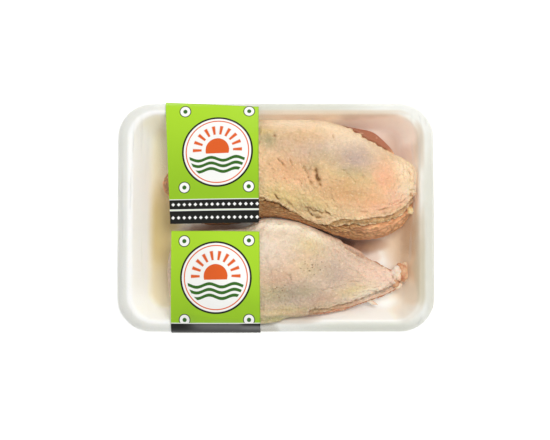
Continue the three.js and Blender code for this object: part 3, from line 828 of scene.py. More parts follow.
def make_flesh(name, breast, material):
    """The body of flesh: a lower dome, sunk under the skin and grooved and creviced where it is bare."""
    direction, along = even_directions(breast, FLESH_AROUND)
    outer = outline_radius(breast, direction)
    radius = flesh_radius(breast, direction)
    path = (np.arange(1, FLESH_RINGS + 1) / FLESH_RINGS * (1 + UNDER_PATH))[:, None]

    def under_skin(out, x, y):
        """Height of the skin's dome at a distance out from the middle."""
        share = out / outer
        return np.where(share < 1, dome_height(breast, share, x, y, 1), 0)

    points = smoothed(dome_points(breast, radius, direction[None, :], path, FLESH_TOP, under_skin))
    skin_path = side_path(np.clip(path_share(path) * radius / outer, 0, 1))
    skin_path = np.where(path < 1, skin_path, path)
    end = np.maximum(skin_end(breast, direction), skin_end(breast, direction, "under_edge"))
    covered = smoothstep(skin_path, end + 0.05, end - 0.01)
    down = path * PATH_LENGTH + 0 * radius
    turn = np.arange(FLESH_AROUND) / FLESH_AROUND
    strip = strip_mask(breast, direction) + 0 * path
    strands = np.abs(noise(turn * 30 + down * 0.06, down / 2.2, seed=21, period=30))
    bundles = noise(turn * 16 + down * 0.02, down / 7, seed=22, period=16)
    crevice = lumps_between(turn, down, seed=24) * (1 - strip)
    fine = noise(turn * 64, down / 1.1, seed=23)
    groove = 0.5 * strands + 0.9 * bundles + 0.25 * fine + 0.8 * crevice
    depth = (covered * COVERED_DEPTH + (1 - covered) * groove) * smoothstep(path, 1.25, 1.1)
    points = keep_off_tray(points - normals_of(points) * depth[..., None])
    points[..., 2] -= 1.5 * covered * smoothstep(path, 1.0, 0.9)
    points[..., 2] = np.maximum(points[..., 2], FLESH_REST)
    numbers = {  # the number at the crown, the grid's numbers, and the number under the breast
        "along": (0, along + 0 * path, 0),
        "down": (0, down, 0),
        "below_skin": (-1, skin_path - end, 1),
        "low_edge": (0, smoothstep(path, 0.86, 1.0) + 0 * radius, 1),
        "crevice": (0, crevice * (1 - covered), 0),
        "strip": (0, strip, 0),
    }
    attributes = {key: np.concatenate([[a], grid.ravel(), [b]]) for key, (a, grid, b) in numbers.items()}
    crown = [*breast["middle"], points[0, :, 2].mean()]
    return closed_body(name, crown, points, [*breast["middle"], FLESH_REST], material, attributes)


def flesh_material(name, tones):
    """Wet raw muscle: stretched fibres, with the tones going from under the skin's edge down the side."""
    material, nodes, surface = new_material(name)
    place = nodes.place()
    along, down, below_skin = (nodes.attribute(name) for name in ("along", "down", "below_skin"))
    fibres = nodes.noise_of(nodes.combined(X=(along + down * 0.7) * 0.08, Y=down * 0.75), 4.0, 0.6)
    level = nodes.smooth(below_skin, 0.0, 0.3)
    blotch = nodes.noise(place, 12, detail=2)
    lumps = nodes.noise(place, 4.5, detail=2)
    across = nodes.parts(place)[0]
    right = nodes.smooth(across, 44 * MM, 74 * MM)
    left = nodes.smooth(across, 14 * MM, -6 * MM) * nodes.smooth(across, -62 * MM, -46 * MM)
    far_left = nodes.smooth(across, -50 * MM, -64 * MM)
    strip = nodes.attribute("strip")
    streaks = nodes.mix(nodes.smooth(lumps, 0.6, 0.78), tones["strip"], tones["sheen"])
    tone = nodes.mix(level, tones["shaded"], tones["bare"])
    for strength, over in (
        (nodes.smooth(fibres, 0.42, 0.68), tones["fat"]),
        (nodes.smooth(fibres, 0.48, 0.28), tones["blood"]),
        (nodes.smooth(blotch, 0.5, 0.75) * 0.5, tones["bare"]),
        (nodes.attribute("low_edge") * (0.3 + blotch), tones["low"]),
        (nodes.smooth(lumps, 0.55, 0.7) * 0.6, tones["fat"]),
        (right * (0.3 + blotch * 0.7), tones["warm"]),
        (left * 0.5, tones["shaded"]),
        (far_left * (0.3 + blotch * 0.7), tones["warm"]),
        (strip * 0.9, streaks),
        # Darker just under the skin's edge on the bare strip: painted shade under the skin.
        (nodes.smooth(below_skin, 0.14, 0.03) * strip * 0.8, tones["blood"]),
        (nodes.attribute("crevice") * 0.6, tones["shaded"]),
    ):
        tone = nodes.mix(strength, tone, over)
    bumps = nodes.bump(fibres, 0.5)
    nodes.fill(surface, {"Base Color": tone, "Roughness": 0.3 + fibres * 0.25, "Normal": bumps})
    let_light_in(surface, weight=0.35, depth=2.5, spread=(1, 0.4, 0.25))
    return material


FLESH_TONES = {  # of the back breast, then of the front one
    "shaded": ((130, 86, 40), (176, 124, 92)),
    "bare": ((216, 152, 96), (206, 146, 110)),
    "fat": ((230, 186, 128), (236, 200, 160)),
    "blood": ((146, 86, 44), (160, 88, 62)),
    "low": ((240, 170, 114), (200, 132, 104)),
    "warm": ((255, 190, 142), (206, 146, 110)),
    "strip": ((172, 100, 72), (186, 112, 82)),
    "sheen": ((216, 160, 134), (220, 164, 140)),
}


def tones_for(breast, table):
    """The tones of one breast, as node colours, from a table of tones for both."""
    return {tone: colour(*pair[breast is FRONT]) for tone, pair in table.items()}


for breast in (BACK, FRONT):
    name = "flesh_" + breast["name"]
    flesh = make_flesh(name, breast, flesh_material(name, tones_for(breast, FLESH_TONES)))
    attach(flesh, "root")
    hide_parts("breast_" + breast["name"])

# The skins
# Plucked skin about 2 mm thick with yellow fat under it, laid over each breast and cut ragged at its edge.
# It creases and folds where it is slack, and thins to show the muscle where it is tight.

SKIN_COUNTS = {"skin_edge": (640, 118), "under_edge": (520, 90)}  # directions and rings of each layer
# The lip's section, outwards and along the skin's normal, in shares of its thickness.
SKIN_LIP = [(0.42, -0.12), (0.62, -0.45), (0.5, -0.82), (0.05, -1.05), (-1.6, -1.15), (-4.0, -1.7)]


def turned(x, y, degrees):
    """Coordinates along and across a direction."""
    c, s = math.cos(math.radians(degrees)), math.sin(math.radians(degrees))
    return x * c + y * s, y * c - x * s


PATCH_WANDER = 2.4  # how far a patch's edge strays from its oval


def patch(x, y, at, size, turn):
    """1 in the middle of a soft oval patch, with an uneven edge, and 0 well outside it."""
    x = x + PATCH_WANDER * layered(x, y, ((1, 7, 31), (0.5, 2.6, 33)))
    y = y + PATCH_WANDER * layered(x, y, ((1, 7, 32), (0.5, 2.6, 34)))
    u, v = turned(x - at[0], y - at[1], turn)
    return np.exp(-(np.hypot(u / size[0], v / size[1]) ** 2.2))


def line_distance(x, y, line):
    """Distance to a line through points, the side it is on, and how far along from the nearer end."""
    nearest = np.full(x.shape, 1e9)
    side = np.zeros(x.shape)
    along = np.zeros(x.shape)
    length = 0
    for (x0, y0), (x1, y1) in zip(line, line[1:]):
        dx, dy = x1 - x0, y1 - y0
        t = np.clip(((x - x0) * dx + (y - y0) * dy) / (dx * dx + dy * dy), 0, 1)
        away = np.hypot(x - x0 - t * dx, y - y0 - t * dy)
        closer = away < nearest
        side = np.where(closer, np.sign(dx * (y - y0) - dy * (x - x0)), side)
        along = np.where(closer, length + t * math.hypot(dx, dy), along)
        nearest = np.minimum(away, nearest)
        length += math.hypot(dx, dy)
    return nearest, side, np.minimum(along, length - along)


def folded(x, y, folds, seed):
    """Relief and creases of folds, each a line, its half width and its depth. One side stands up."""
    wx, wy = strayed(x, y, far=1.4, size=4, seed=seed)
    uneven = 1 + 0.9 * noise(x / 3, y / 3, seed + 2)
    relief = np.zeros(x.shape)
    crease = np.zeros(x.shape)
    for line, width, depth in folds:
        away, side, from_end = line_distance(wx, wy, line)
        strong = uneven * smoothstep(from_end, -width, 3 * width)
        fold = np.exp(-((away / width) ** 2)) * strong
        beside = np.exp(-(((away - 1.9 * width) / (1.1 * width)) ** 2)) * strong
        relief += -depth * fold + 0.5 * depth * beside * (side > 0) + 0.15 * depth * beside * (side < 0)
        crease = np.maximum(crease, fold * min(depth / 1.5, 1))
    return relief, crease


def creases(along, across, length, width, seed):
    """Fine branching creases, 1 in a crease and 0 between, drawn out along one direction."""
    along, across = along / length, across / width
    field = noise(along, across, seed) + 0.4 * noise(along * 2.3, across * 2.1, seed + 1)
    return np.clip(1 - np.abs(field) * 5, 0, 1)


def pits(x, y, spacing, size, seed):
    """Scattered feather pits: 1 in the middle of each and 0 between."""
    rng = np.random.default_rng(seed)
    shift = rng.random((NOISE_SIZE, NOISE_SIZE, 2)) * 0.8 + 0.1
    weight = rng.random((NOISE_SIZE, NOISE_SIZE))
    i, j = np.floor(x / spacing).astype(int), np.floor(y / spacing).astype(int)
    deepest = np.zeros(np.shape(x))
    for right in (-1, 0, 1):
        for up in (-1, 0, 1):
            a, b = (i + right) % NOISE_SIZE, (j + up) % NOISE_SIZE
            px = (i + right + shift[a, b, 0]) * spacing
            py = (j + up + shift[a, b, 1]) * spacing
            near = np.exp(-(((x - px) ** 2 + (y - py) ** 2) / size**2)) * weight[a, b]
            deepest = np.maximum(deepest, near)
    return deepest


BACK_LUMPS = ((1.5, 10, 43), (0.9, 4.5, 44), (0.35, 1.8, 50))  # height, size and seed of each layer
FRONT_LUMPS = ((1.3, 10, 61), (0.7, 4.5, 62), (0.3, 1.7, 69))
BACK_LINES = -42  # the direction, in degrees, that the back skin's creases run in
BACK_END = (66, 22)  # the place that the creases of the back skin's right end run round
FRONT_TIP = (100, -45)  # the place that the front skin's long creases run towards


def back_relief(x, y):
    """How far the back skin stands out from its smooth dome, and where it is creased."""
    wx, wy = strayed(x, y, far=2.5, size=11, seed=41)
    relief = layered(x, y, BACK_LUMPS)
    along, across = turned(wx, wy, BACK_LINES)
    slack = 0.3 + 0.7 * patch(x, y, (14, 22), (34, 20), -15)
    fine = creases(along, across, length=7, width=2.4, seed=45) * slack
    bunched = patch(x, y, (26, 3), (15, 6), -20)
    pleats = creases(along, across, length=9, width=3.4, seed=51) * bunched * 0.8
    from_end, beside_end = wx - BACK_END[0], wy - BACK_END[1]
    out, turn = np.hypot(from_end, beside_end), np.arctan2(beside_end, from_end)
    ends = creases(turn * 24, out, length=7, width=2.6, seed=47) * smoothstep(x, 76, 90)
    crease = np.maximum(np.maximum(fine * 0.28, ends * 0.3), pleats * 0.7)
    relief = relief - 0.3 * fine - 0.7 * ends - 0.6 * pleats
    fold_relief, fold_crease = folded(x, y, BACK_FOLDS, seed=52)
    follicles = pits(x, y, spacing=3.4, size=0.5, seed=49)
    crease = np.maximum(crease, fold_crease)
    return relief + fold_relief - 0.25 * follicles, np.clip(crease + 0.4 * follicles, 0, 1)


BACK_FOLDS = [  # a line, its half width and its depth
    ([(27.2, 34.3), (28.6, 29.3), (29, 25.7), (30.4, 22.2), (32.1, 18.3)], 1.6, 1.5),
    ([(18.4, 35), (21.2, 29.3), (24, 22.9), (26.8, 17.2)], 1, 0.8),
    ([(22.6, 35), (23.7, 30)], 0.8, 0.6),
    ([(0.8, 40.3), (3.6, 37.1), (6.4, 34.3)], 0.7, 0.8),
    ([(9.2, 39.9), (10.3, 36.4), (12.4, 33.9)], 0.7, 0.7),
    ([(-4.2, 31.8), (-1.7, 31.1)], 0.6, 0.6),
    ([(5, 26.5), (7.1, 24)], 0.6, 0.5),
    ([(16.3, 26.1), (19.4, 24)], 0.6, 0.6),
    ([(38.9, 22.4), (41.4, 21.3)], 0.5, 0.5),
    ([(39, 10.3), (42.2, 8.2)], 0.7, 0.8),
    ([(34.8, 7.6), (37.3, 4.1)], 0.7, 0.8),
    ([(-2.1, 14.3), (0.8, 12.2), (4.2, 10.4)], 1, 1.2),
    ([(5, 11.2), (8.4, 8.6), (12.4, 4.8)], 1.2, 1.0),
    ([(8, 6.8), (12, 4.4), (16.6, 2.2)], 0.9, 0.7),
    ([(19.3, 6.9), (21.4, 4.7), (25.7, 4)], 0.8, 1.0),
    ([(20.7, 4.1), (23.6, 1.2), (27.1, -0.9)], 0.8, 1.05),
    ([(23.6, 5.1), (26.4, 2.6), (30.7, 1.9)], 0.8, 0.9),
    ([(28.6, 3.3), (31.4, 1.2), (35, 1.9), (37.1, -0.3)], 0.8, 0.95),
    ([(25.7, 0.2), (30, -2.3), (33.6, -1.6)], 0.8, 0.9),
    ([(35.7, 2.7), (38.2, -2.3)], 0.7, 0.9),
    ([(39.9, 58), (41, 54.4)], 0.6, 0.8),
    ([(44.1, 54.2), (47, 53.1)], 0.6, 0.6),
    ([(45.9, 32.1), (50.2, 29.3), (54.4, 26.8)], 0.6, 0.7),
    ([(51.6, 27.2), (54.4, 24.7), (57.2, 22.6)], 0.6, 0.7),
    ([(60.4, 27.3), (64, 24.1)], 0.7, 0.8),
    ([(41.8, 38.6), (46, 35.8)], 0.5, 0.4),
    ([(50.2, 19.5), (52.7, 16.7)], 0.6, 0.7),
    ([(85.4, 4.6), (88.2, 2.4)], 0.8, 1),
    ([(91.3, 12.6), (93.8, 10.1)], 0.8, 1),
    ([(96.5, 17.8), (97.9, 12.8)], 0.9, 1.2),
    ([(79.6, 6.6), (83.1, 8), (86.7, 9.4)], 0.7, 0.7),
    ([(71.9, 3.1), (77.6, 4.6), (82.6, 4.9)], 0.7, 0.8),
    ([(59.9, 1.2), (65.6, 1.9)], 0.7, 0.8),
    ([(90.6, 39.6), (92, 32.4), (91.9, 26.7)], 0.7, 0.6),
    ([(95, 35.5), (96.4, 29.8), (96.4, 24)], 0.7, 0.7),
    ([(85.4, 39.4), (87.5, 33.7)], 0.6, 0.5),
    ([(-2.1, 58.8), (-0.9, 54.5)], 1.3, 1.2),
]


def front_relief(x, y):
    """How far the front skin stands out from its smooth dome, and where it is creased."""
    from_tip, beside_tip = x - FRONT_TIP[0], y - FRONT_TIP[1]
    out = np.hypot(from_tip, beside_tip)
    toward = np.arctan2(beside_tip, from_tip) % (2 * math.pi) - math.pi
    relief = layered(x, y, FRONT_LUMPS)
    wave = toward * 60 + 2.5 * noise(x / 9, y / 9, 63)
    long_creases = creases(out, wave, length=12, width=3.0, seed=64) * smoothstep(x, 15, 60)
    slack = 0.2 + 0.6 * patch(x, y, (6, -44), (18, 14), 0)
    wx = x + 2 * noise(x / 6, y / 6, seed=65)
    fine = creases(wx, y, length=4, width=2.2, seed=66) * slack
    fold_relief, fold_crease = folded(x, y, FRONT_FOLDS, seed=68)
    spots = np.clip(patch(x, y, (27, -37), (9, 7), 20) + patch(x, y, (1, -55), (11, 5), -5), 0, 1)
    follicles = pits(x, y, spacing=2.4, size=0.6, seed=67) * (0.25 + 0.75 * spots)
    crease = np.maximum(np.maximum(long_creases * 0.3, fine * 0.3), fold_crease)
    relief = relief - 0.35 * long_creases - 0.3 * fine + fold_relief
    return relief - 0.35 * follicles, np.clip(crease + 1.3 * follicles, 0, 1)


FRONT_FOLDS = [  # the same for the front skin
    ([(31.3, -53.3), (39.8, -52), (48.3, -49.4), (56.9, -45.9)], 0.6, 0.5),
    ([(57.6, -29.5), (62.6, -36.6), (67.5, -43.7)], 0.7, 0.4),
    ([(65.5, -31.6), (71.1, -38.7), (76.8, -45.1)], 0.7, 0.4),
    ([(51.3, -33), (58.4, -40.1), (64, -46.5)], 0.7, 0.4),
    ([(78.8, -43.5), (82.3, -47), (84.5, -50.6)], 0.9, 0.7),
    ([(82.4, -40.6), (85.9, -45.6), (87.3, -49.2)], 0.9, 0.7),
    ([(72.9, -40), (80.1, -43.5)], 0.7, 0.5),
    ([(47.9, -24.3), (54.3, -28.6), (60, -31.5)], 1.0, 0.4),
    ([(4.7, -40.2), (9.8, -42.7), (10.7, -45.3), (9, -47.8)], 1, 0.5),
    ([(14.3, -9), (21.4, -12.5), (25.6, -17.5)], 0.7, 0.4),
]


MOST_PROUD = 1.0  # the most that the skin's relief stands out, so that it stays under the film
LAYERS = {  # how deep a layer lies, its thickness, its share of the relief and how uneven its edge is
    "skin_edge": (0.0, 2.3, 1.0, 0.35),
    "under_edge": (1.3, 1.5, 0.9, 0.8),
}


def cut_edge(points, thickness):
    """Rings that roll over from a skin's cut edge to its underside, as deep as the skin is thick there."""
    edge = points[-1]
    outward = unit(smoothed_ring(edge - points[-9], 12))
    normal = unit(np.cross(outward, smoothed_ring(np.roll(edge, -1, 0) - np.roll(edge, 1, 0), 12)))
    lip = [edge + (outward * a + normal * b) * thickness[:, None] for a, b in SKIN_LIP]
    return [np.maximum(ring, [-999, -999, REST]) for ring in lip]


def make_skin(name, breast, layer, relief_of, tones_of, material):
    """A skin as a closed cap: the dome's top, a rolled cut edge, and an underside deep in the flesh."""
    sunk, thick, uneven, uneven_edge = LAYERS[layer]
    is_under = layer == "under_edge"
    around, down = SKIN_COUNTS[layer]
    direction = even_directions(breast, around)[0]
    end, skins_end = skin_end(breast, direction, layer), skin_end(breast, direction)
    path = end * (np.arange(1, down + 1) / down)[:, None]
    points = dome_points(breast, outline_radius(breast, direction), direction[None, :], path, 1)
    points = smoothed(points)
    normal = normals_of(points)
    relief, crease = relief_of(points[..., 0], points[..., 1])
    relief = np.where(relief > 0, MOST_PROUD * np.tanh(relief / MOST_PROUD), relief)

    turn = np.arange(around) / around
    near = smoothstep(path - end, -0.12, -0.01) * smoothstep(end, 1.0, 0.94)
    torn = lumps_between(turn, path * PATH_LENGTH, seed=76, count=128, size=2.4) * near
    relief += near * uneven_edge * noise(turn * 128, path * 24, seed=78, period=128) - torn * uneven_edge
    if is_under:
        gathers = lumps_between(turn, path * PATH_LENGTH, seed=82, count=54, size=1.3)
        relief -= 0.9 * gathers
        crease = np.maximum(crease, 0.6 * gathers)
    crease = np.maximum(crease * smoothstep(normal[..., 2], 0.15, 0.55), torn * (0.4 + 0.4 * uneven_edge))
    upright = 0.25 + 0.75 * smoothstep(normal[..., 2], 0.2, 0.7)
    fade = smoothstep(path, 0.0, 0.04) * upright * smoothstep(path, 1.1, 0.95)
    hidden = smoothstep(skins_end - end, -0.01, 0.04) * is_under
    deeper = (2.0 * hidden + 1.8 * smoothstep(end - path, 0.05, 0.16)) * is_under
    flaps = np.clip(0.1 + 0.5 * noise(turn * 96, path * 0, seed=79, period=96), 0, 1)
    flaps = flaps * (torn_at(breast, direction) - 1)
    flaps = flaps * smoothstep(path - end, -0.05, -0.005) * (not is_under)
    points = keep_off_tray(points + normal * (relief * fade * uneven + flaps - sunk - deeper)[..., None])

    tucked = np.maximum(smoothstep(end, 0.88, 0.97), hidden)
    thickness = thick * (1 + 0.5 * noise(turn * 56, turn * 0, seed=71, period=56)) * (1 - 0.9 * tucked)
    heart = np.array([*breast["middle"], REST + 8])
    deep = [points[-1] + (heart - points[-1]) * s for s in (0.35, 0.7)]
    inside = cut_edge(points, thickness) + deep
    crown = [*breast["middle"], points[0, :, 2].mean()]

    # Where the under layer runs beside the upper skin's edge: painted darker there as shade.
    beside = smoothstep(path - skins_end, 0.09, 0.01) * is_under
    grids = {  # numbers on the skin, and what they are beyond its cut edge, if they don't run on there
        "crease": (crease, None),
        "rim": (path * 0, 1.0),
        "near_edge": (path - end, 0.0),
        "beside": (beside, 0.0),
    }
    for key, grid in tones_of(points[..., 0], points[..., 1]).items():
        grids[key] = (grid, None)
    attributes = {}
    for key, (grid, beyond) in grids.items():
        tail = np.tile(grid[-1] if beyond is None else np.full(around, beyond), len(inside))
        attributes[key] = np.concatenate([[grid[0, 0]], grid.ravel(), tail, [0]])
    return closed_body(name, crown, np.concatenate([points, inside]), heart, material, attributes)


def tone_maps(patches):
    """The tones' strengths at a place, as a function, from the patches listed for each tone."""

    def maps(x, y):
        """How strongly each tone shows at a place."""
        result = {}
        for tone, ovals in patches.items():
            strength = np.zeros(x.shape)
            for at, size, turn, most in ovals:
                strength = np.maximum(strength, most * patch(x, y, at, size, turn))
            result[tone] = strength
        return result

    return maps


# Where each tone shows: the middle, half length and width, turn and strength of each patch.
BACK_TONES = {
    "mauve": [((55, 41), (17, 12), 0, 1.0), ((30, 46), (24, 9), 5, 0.6), ((8, 50), (14, 8), 0, 0.35)],
    "yellow": [((50, 28), (20, 6), -12, 0.8), ((-8, 60), (7, 3), 0, 0.9), ((6, 12), (24, 8), -18, 0.8),
               ((26, 8), (20, 7), -14, 0.7), ((50, 23), (3, 4), 0, 1.0)],
    "tan": [((50, 16), (22, 9), -10, 0.7), ((-8, 60), (8, 6), 0, 0.3), ((34, 20), (10, 8), 0, 0.4),
            ((18, 54), (28, 7), 0, 0.4), ((8, 34), (14, 9), 0, 0.35)],
    "orange": [((77, 26), (9, 13), 8, 0.9), ((70, 8), (14, 9), 0, 0.8), ((12, 31), (20, 9), -10, 0.6),
               ((86, 8), (10, 7), 20, 0.6), ((48, 13), (18, 8), -10, 0.5), ((48, 23), (8, 5), 0, 0.4)],
    # The green patches are painted shade in folds.
    "green": [((36, 41), (10, 6), 0, 0.35), ((26, 34), (8, 5), 0, 0.4), ((24, 4), (10, 4), -12, 0.3),
              ((-6, 53), (8, 5), 0, 0.8), ((54, 31), (12, 4), 0, 0.3)],
    "pink": [((86, 12), (10, 8), 0, 0.5), ((74, 4), (12, 5), 0, 0.4), ((78, 28), (8, 8), 0, 0.3)],
    "pale": [((44, 50), (14, 6), 0, 0.3)],
    # The cream patches at (93, 34) and (95, 18) are painted light on the right end where it curves down.
    "cream": [((93, 34), (9, 13), 0, 1.0), ((95, 18), (9, 11), 0, 1.0), ((52, 56), (24, 8), -22, 1.0),
              ((8, 66), (24, 5), 0, 0.5), ((36, 4), (14, 5), -14, 0.4), ((74, 50), (12, 5), -30, 0.8)],
}
FRONT_TONES = {
    "mauve": [((14, -56), (20, 8), 8, 1.0), ((42, -40), (14, 12), 20, 0.65), ((57, -25), (10, 5), -38, 0.3),
              ((-2, -60), (16, 8), 0, 0.6)],
    "yellow": [((24, -22), (14, 8), -20, 0.6), ((8, -67), (34, 4), 4, 0.8), ((55, -53), (16, 4), 12, 0.7),
               ((-8, -60), (11, 14), 0, 0.6), ((20, -36), (8, 8), 0, 0.4)],
    "orange": [((9, -44), (12, 8), 0, 0.35), ((20, -32), (8, 6), 0, 0.2), ((58, -44), (10, 4), 0, 0.3)],
    # The green patches are painted shade, in folds and along the lower edge.
    "green": [((28, -40), (9, 6), 0, 0.3), ((0, -56), (14, 6), 0, 0.5), ((0, -74), (26, 3.5), 3, 1.0),
              ((20, -54), (10, 5), 10, 0.45)],
    # The tan patch at (14, -72) is painted shade along the lower edge.
    "tan": [((64, -31), (8, 4), -38, 0.3), ((0, -47), (14, 7), 0, 0.5), ((14, -72), (14, 3.5), 4, 1.0),
            ((31, -60), (12, 5), 14, 0.75)],
    # The cream patches at (4, -7) and (26, -14) are painted light along the top edge by the valley.
    "cream": [((84, -40), (9, 8), -20, 0.6), ((67, -53), (14, 5), 18, 0.95), ((4, -7), (24, 5), 0, 1.0),
              ((-2, -16), (20, 10), 0, 0.25), ((26, -14), (12, 6), -24, 1.0)],
    "pale": [((-8, -24), (12, 10), 0, 0.3), ((10, -18), (8, 6), 0, 0.3)],
    "pink": [((76, -42), (16, 10), -16, 0.9), ((56, -36), (12, 8), -20, 0.25)],
}


def skin_material(name, base, tones):
    """Raw skin: soft tones of fat, muscle and blood under it, creases and patches of painted shade, painted
    light and glints, and a damp, uneven surface.
    """
    material, nodes, surface = new_material(name)
    place = nodes.place()
    mottle = nodes.noise(place, 5, detail=4, roughness=0.6)
    speckle = nodes.noise(place, 1.3, detail=2)
    grain = nodes.noise(place, 2.2, detail=3, roughness=0.7)
    tone = nodes.mix(nodes.smooth(mottle, 0.35, 0.65), base[0], base[1])
    for key in ("cream", "yellow", "orange", "tan", "mauve", "green", "pale", "pink"):
        strength = nodes.clamped(nodes.attribute(key) * (0.55 + mottle * 0.9))
        tone = nodes.mix(strength, tone, tones[key])
    edge = nodes.smooth(nodes.attribute("near_edge"), -0.03, 0.0)
    crease = nodes.attribute("crease")
    # Creases, folds and pits painted darker, and the under layer beside the skin's edge too: painted shade.
    for strength, key in (
        (edge * (mottle * 1.6 - 0.2), "edge"),
        (nodes.attribute("rim") * 0.5, "rim"),
        (nodes.smooth(crease, 0.15, 0.8) * 0.8, "crease"),
        (nodes.smooth(crease, 0.55, 1.0) * 0.8, "deep"),
        (nodes.attribute("beside") * 0.6, "crease"),
        (nodes.smooth(speckle, 0.62, 0.78) * 0.35, "crease"),
        # Small painted glints.
        (nodes.smooth(speckle, 0.42, 0.28) * 0.4, "cream"),
    ):
        tone = nodes.mix(strength, tone, tones[key])
    tone = nodes.shaded(tone, 0.79 + grain * 0.42)
    goose = nodes.cells(place, 2.1, feature="SMOOTH_F1")
    bumps = nodes.bump(nodes.smooth(goose, 0.1, 0.6) * -0.5 + mottle * 0.7 + speckle * 0.35, 0.8)
    nodes.fill(surface, {"Base Color": tone, "Roughness": 0.36 + mottle * 0.2, "Normal": bumps})
    let_light_in(surface, weight=0.3, depth=2.0, spread=(1, 0.5, 0.3))
    return material


SKIN_TONES = {  # of the back breast, then of the front one
    # cream is the fat's own colour, and is also used as painted light in some patches and in small glints.
    "cream": ((254, 227, 190), (252, 236, 212)),
    "yellow": ((224, 198, 132), (224, 202, 144)),
    "orange": ((242, 182, 136), (218, 176, 132)),
    "mauve": ((196, 170, 154), (190, 168, 150)),
    # green is a painted shade tone.
    "green": ((176, 164, 122), (180, 170, 122)),
    "tan": ((206, 162, 108), (200, 160, 132)),
    "pale": ((236, 222, 200), (234, 230, 214)),
    "pink": ((244, 192, 164), (246, 212, 188)),
    "edge": ((250, 222, 178), (240, 212, 182)),
    "rim": ((206, 152, 88), (220, 164, 124)),
    # crease and deep are painted shade in creases, folds and pits.
    "crease": ((168, 120, 66), (158, 124, 92)),
    "deep": ((114, 72, 30), (112, 80, 54)),
}
SKIN_BASES = {  # the two tones that each skin is mottled in
    "skin_back": ((228, 196, 150), (244, 206, 164)),
    "skin_front": ((222, 198, 172), (236, 207, 182)),
    "under_skin_back": ((190, 144, 88), (238, 200, 144)),
    "under_skin_front": ((208, 162, 132), (226, 186, 156)),
}
for breast, relief_of, patches in ((BACK, back_relief, BACK_TONES), (FRONT, front_relief, FRONT_TONES)):
    for layer, prefix in (("skin_edge", "skin_"), ("under_edge", "under_skin_")):
        name = prefix + breast["name"]
        base = [colour(*tone) for tone in SKIN_BASES[name]]
        material = skin_material(name, base, tones_for(breast, SKIN_TONES))
        skin = make_skin(name, breast, layer, relief_of, tone_maps(patches), material)
        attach(skin, "root")
        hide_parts("breast_" + breast["name"])

# The loose bits
# Small lumps of flesh and fat at the front breast's tip, at the back breast's right end and on the tray.

LUMP_AROUND = 48
LUMP_RINGS = 25


def lump(name, at, size, turn, seed, material):
    """A small uneven lump, longer along its turned X than across, kept clear of the tray."""
    around = np.linspace(0, 2 * math.pi, LUMP_AROUND, endpoint=False)[None, :]
    down = np.linspace(0, math.pi, LUMP_RINGS + 2)[1:-1][:, None]
    x, y, z = np.sin(down) * np.cos(around), np.sin(down) * np.sin(around), np.cos(down) + 0 * around
    swell = 1 + 0.25 * noise(x * 1.3 + 9, y * 1.3 + z + 9, seed)
    swell += 0.15 * noise(x * 3.5 + 9, y * 3.5 + z * 2 + 9, seed)
    u, v = turned(x * size[0] * swell, y * size[1] * swell, -turn)
    points = keep_off_tray(np.stack([at[0] + u, at[1] + v, at[2] + z * size[2] * swell], -1))
    return closed_body(name, points[0].mean(0), points, points[-1].mean(0), material)


def lump_material(name, low, middle, high):
    """Wet flesh or fat in three tones."""
    material, nodes, surface = new_material(name)
    place = nodes.place()
    clouds = nodes.noise(place, 4, detail=3)
    grain = nodes.noise(place, 1.2, detail=2)
    tone = nodes.mix(nodes.smooth(clouds, 0.3, 0.52), colour(*low), colour(*middle))
    tone = nodes.mix(nodes.smooth(clouds + grain * 0.3, 0.62, 0.8), tone, colour(*high))
    bumps = nodes.bump(grain, 0.4)
    nodes.fill(surface, {"Base Color": tone, "Roughness": 0.3 + grain * 0.2, "Normal": bumps})
    let_light_in(surface, weight=0.4, depth=2.5, spread=(1, 0.45, 0.3))
    return material


flesh_bits = lump_material("flesh_bits", (190, 126, 88), (214, 158, 118), (226, 184, 144))
pale_bits = lump_material("pale_bits", (220, 168, 128), (230, 190, 152), (240, 216, 184))
fat_bits = lump_material("fat_bits", (222, 172, 136), (244, 210, 180), (252, 230, 206))
yellow_bits = lump_material("yellow_bits", (220, 178, 118), (238, 206, 150), (246, 226, 184))
thin_bits = lump_material("thin_bits", (236, 204, 180), (244, 222, 202), (250, 238, 224))
LUMPS = [  # name, breast, middle, half sizes, turn, seed and material
    ("tip_flesh", "front", (91.0, -39.4, 15.8), (4.4, 6.6, 3.2), 12, 81, flesh_bits),
    ("tip_pale_flesh", "front", (92.0, -36.2, 14.6), (4.8, 3.8, 2.4), 24, 87, pale_bits),
    ("tip_low_flesh", "front", (92.0, -42.8, 14.2), (3.8, 4.8, 2.6), -20, 82, pale_bits),
    ("tip_fat", "front", (88.0, -42.2, 19.6), (2.0, 4.4, 2.2), 14, 83, fat_bits),
    ("tip_knot", "front", (86.0, -47.4, 17.8), (2.6, 3.4, 2.2), 22, 88, flesh_bits),
    ("tip_fold_fat", "front", (88.4, -49.6, 16.0), (3.0, 2.0, 1.9), 38, 84, fat_bits),
    ("loose_point", "front", (68.6, -60.9, 13.2), (5.2, 1.3, 0.6), -26, 85, thin_bits),
    ("tip_skin", "front", (86.6, -39.2, 19.0), (3.4, 3.8, 2.3), -20, 89, thin_bits),
    ("end_fat", "back", (96.6, 4.6, 23.2), (2.4, 3.0, 1.8), 20, 86, yellow_bits),
]
for name, breast_name, at, size, turn, seed, material in LUMPS:
    bit = lump(name, at, size, turn, seed, material)
    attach(bit, "root")
    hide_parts("breast_" + breast_name)

# The film
# Clear stretch film, drawn tight over the lip and the breasts like a drumhead and pulled down the sides.
# Its edges are folded in flat under the tray, where they leave a slot open in the middle.

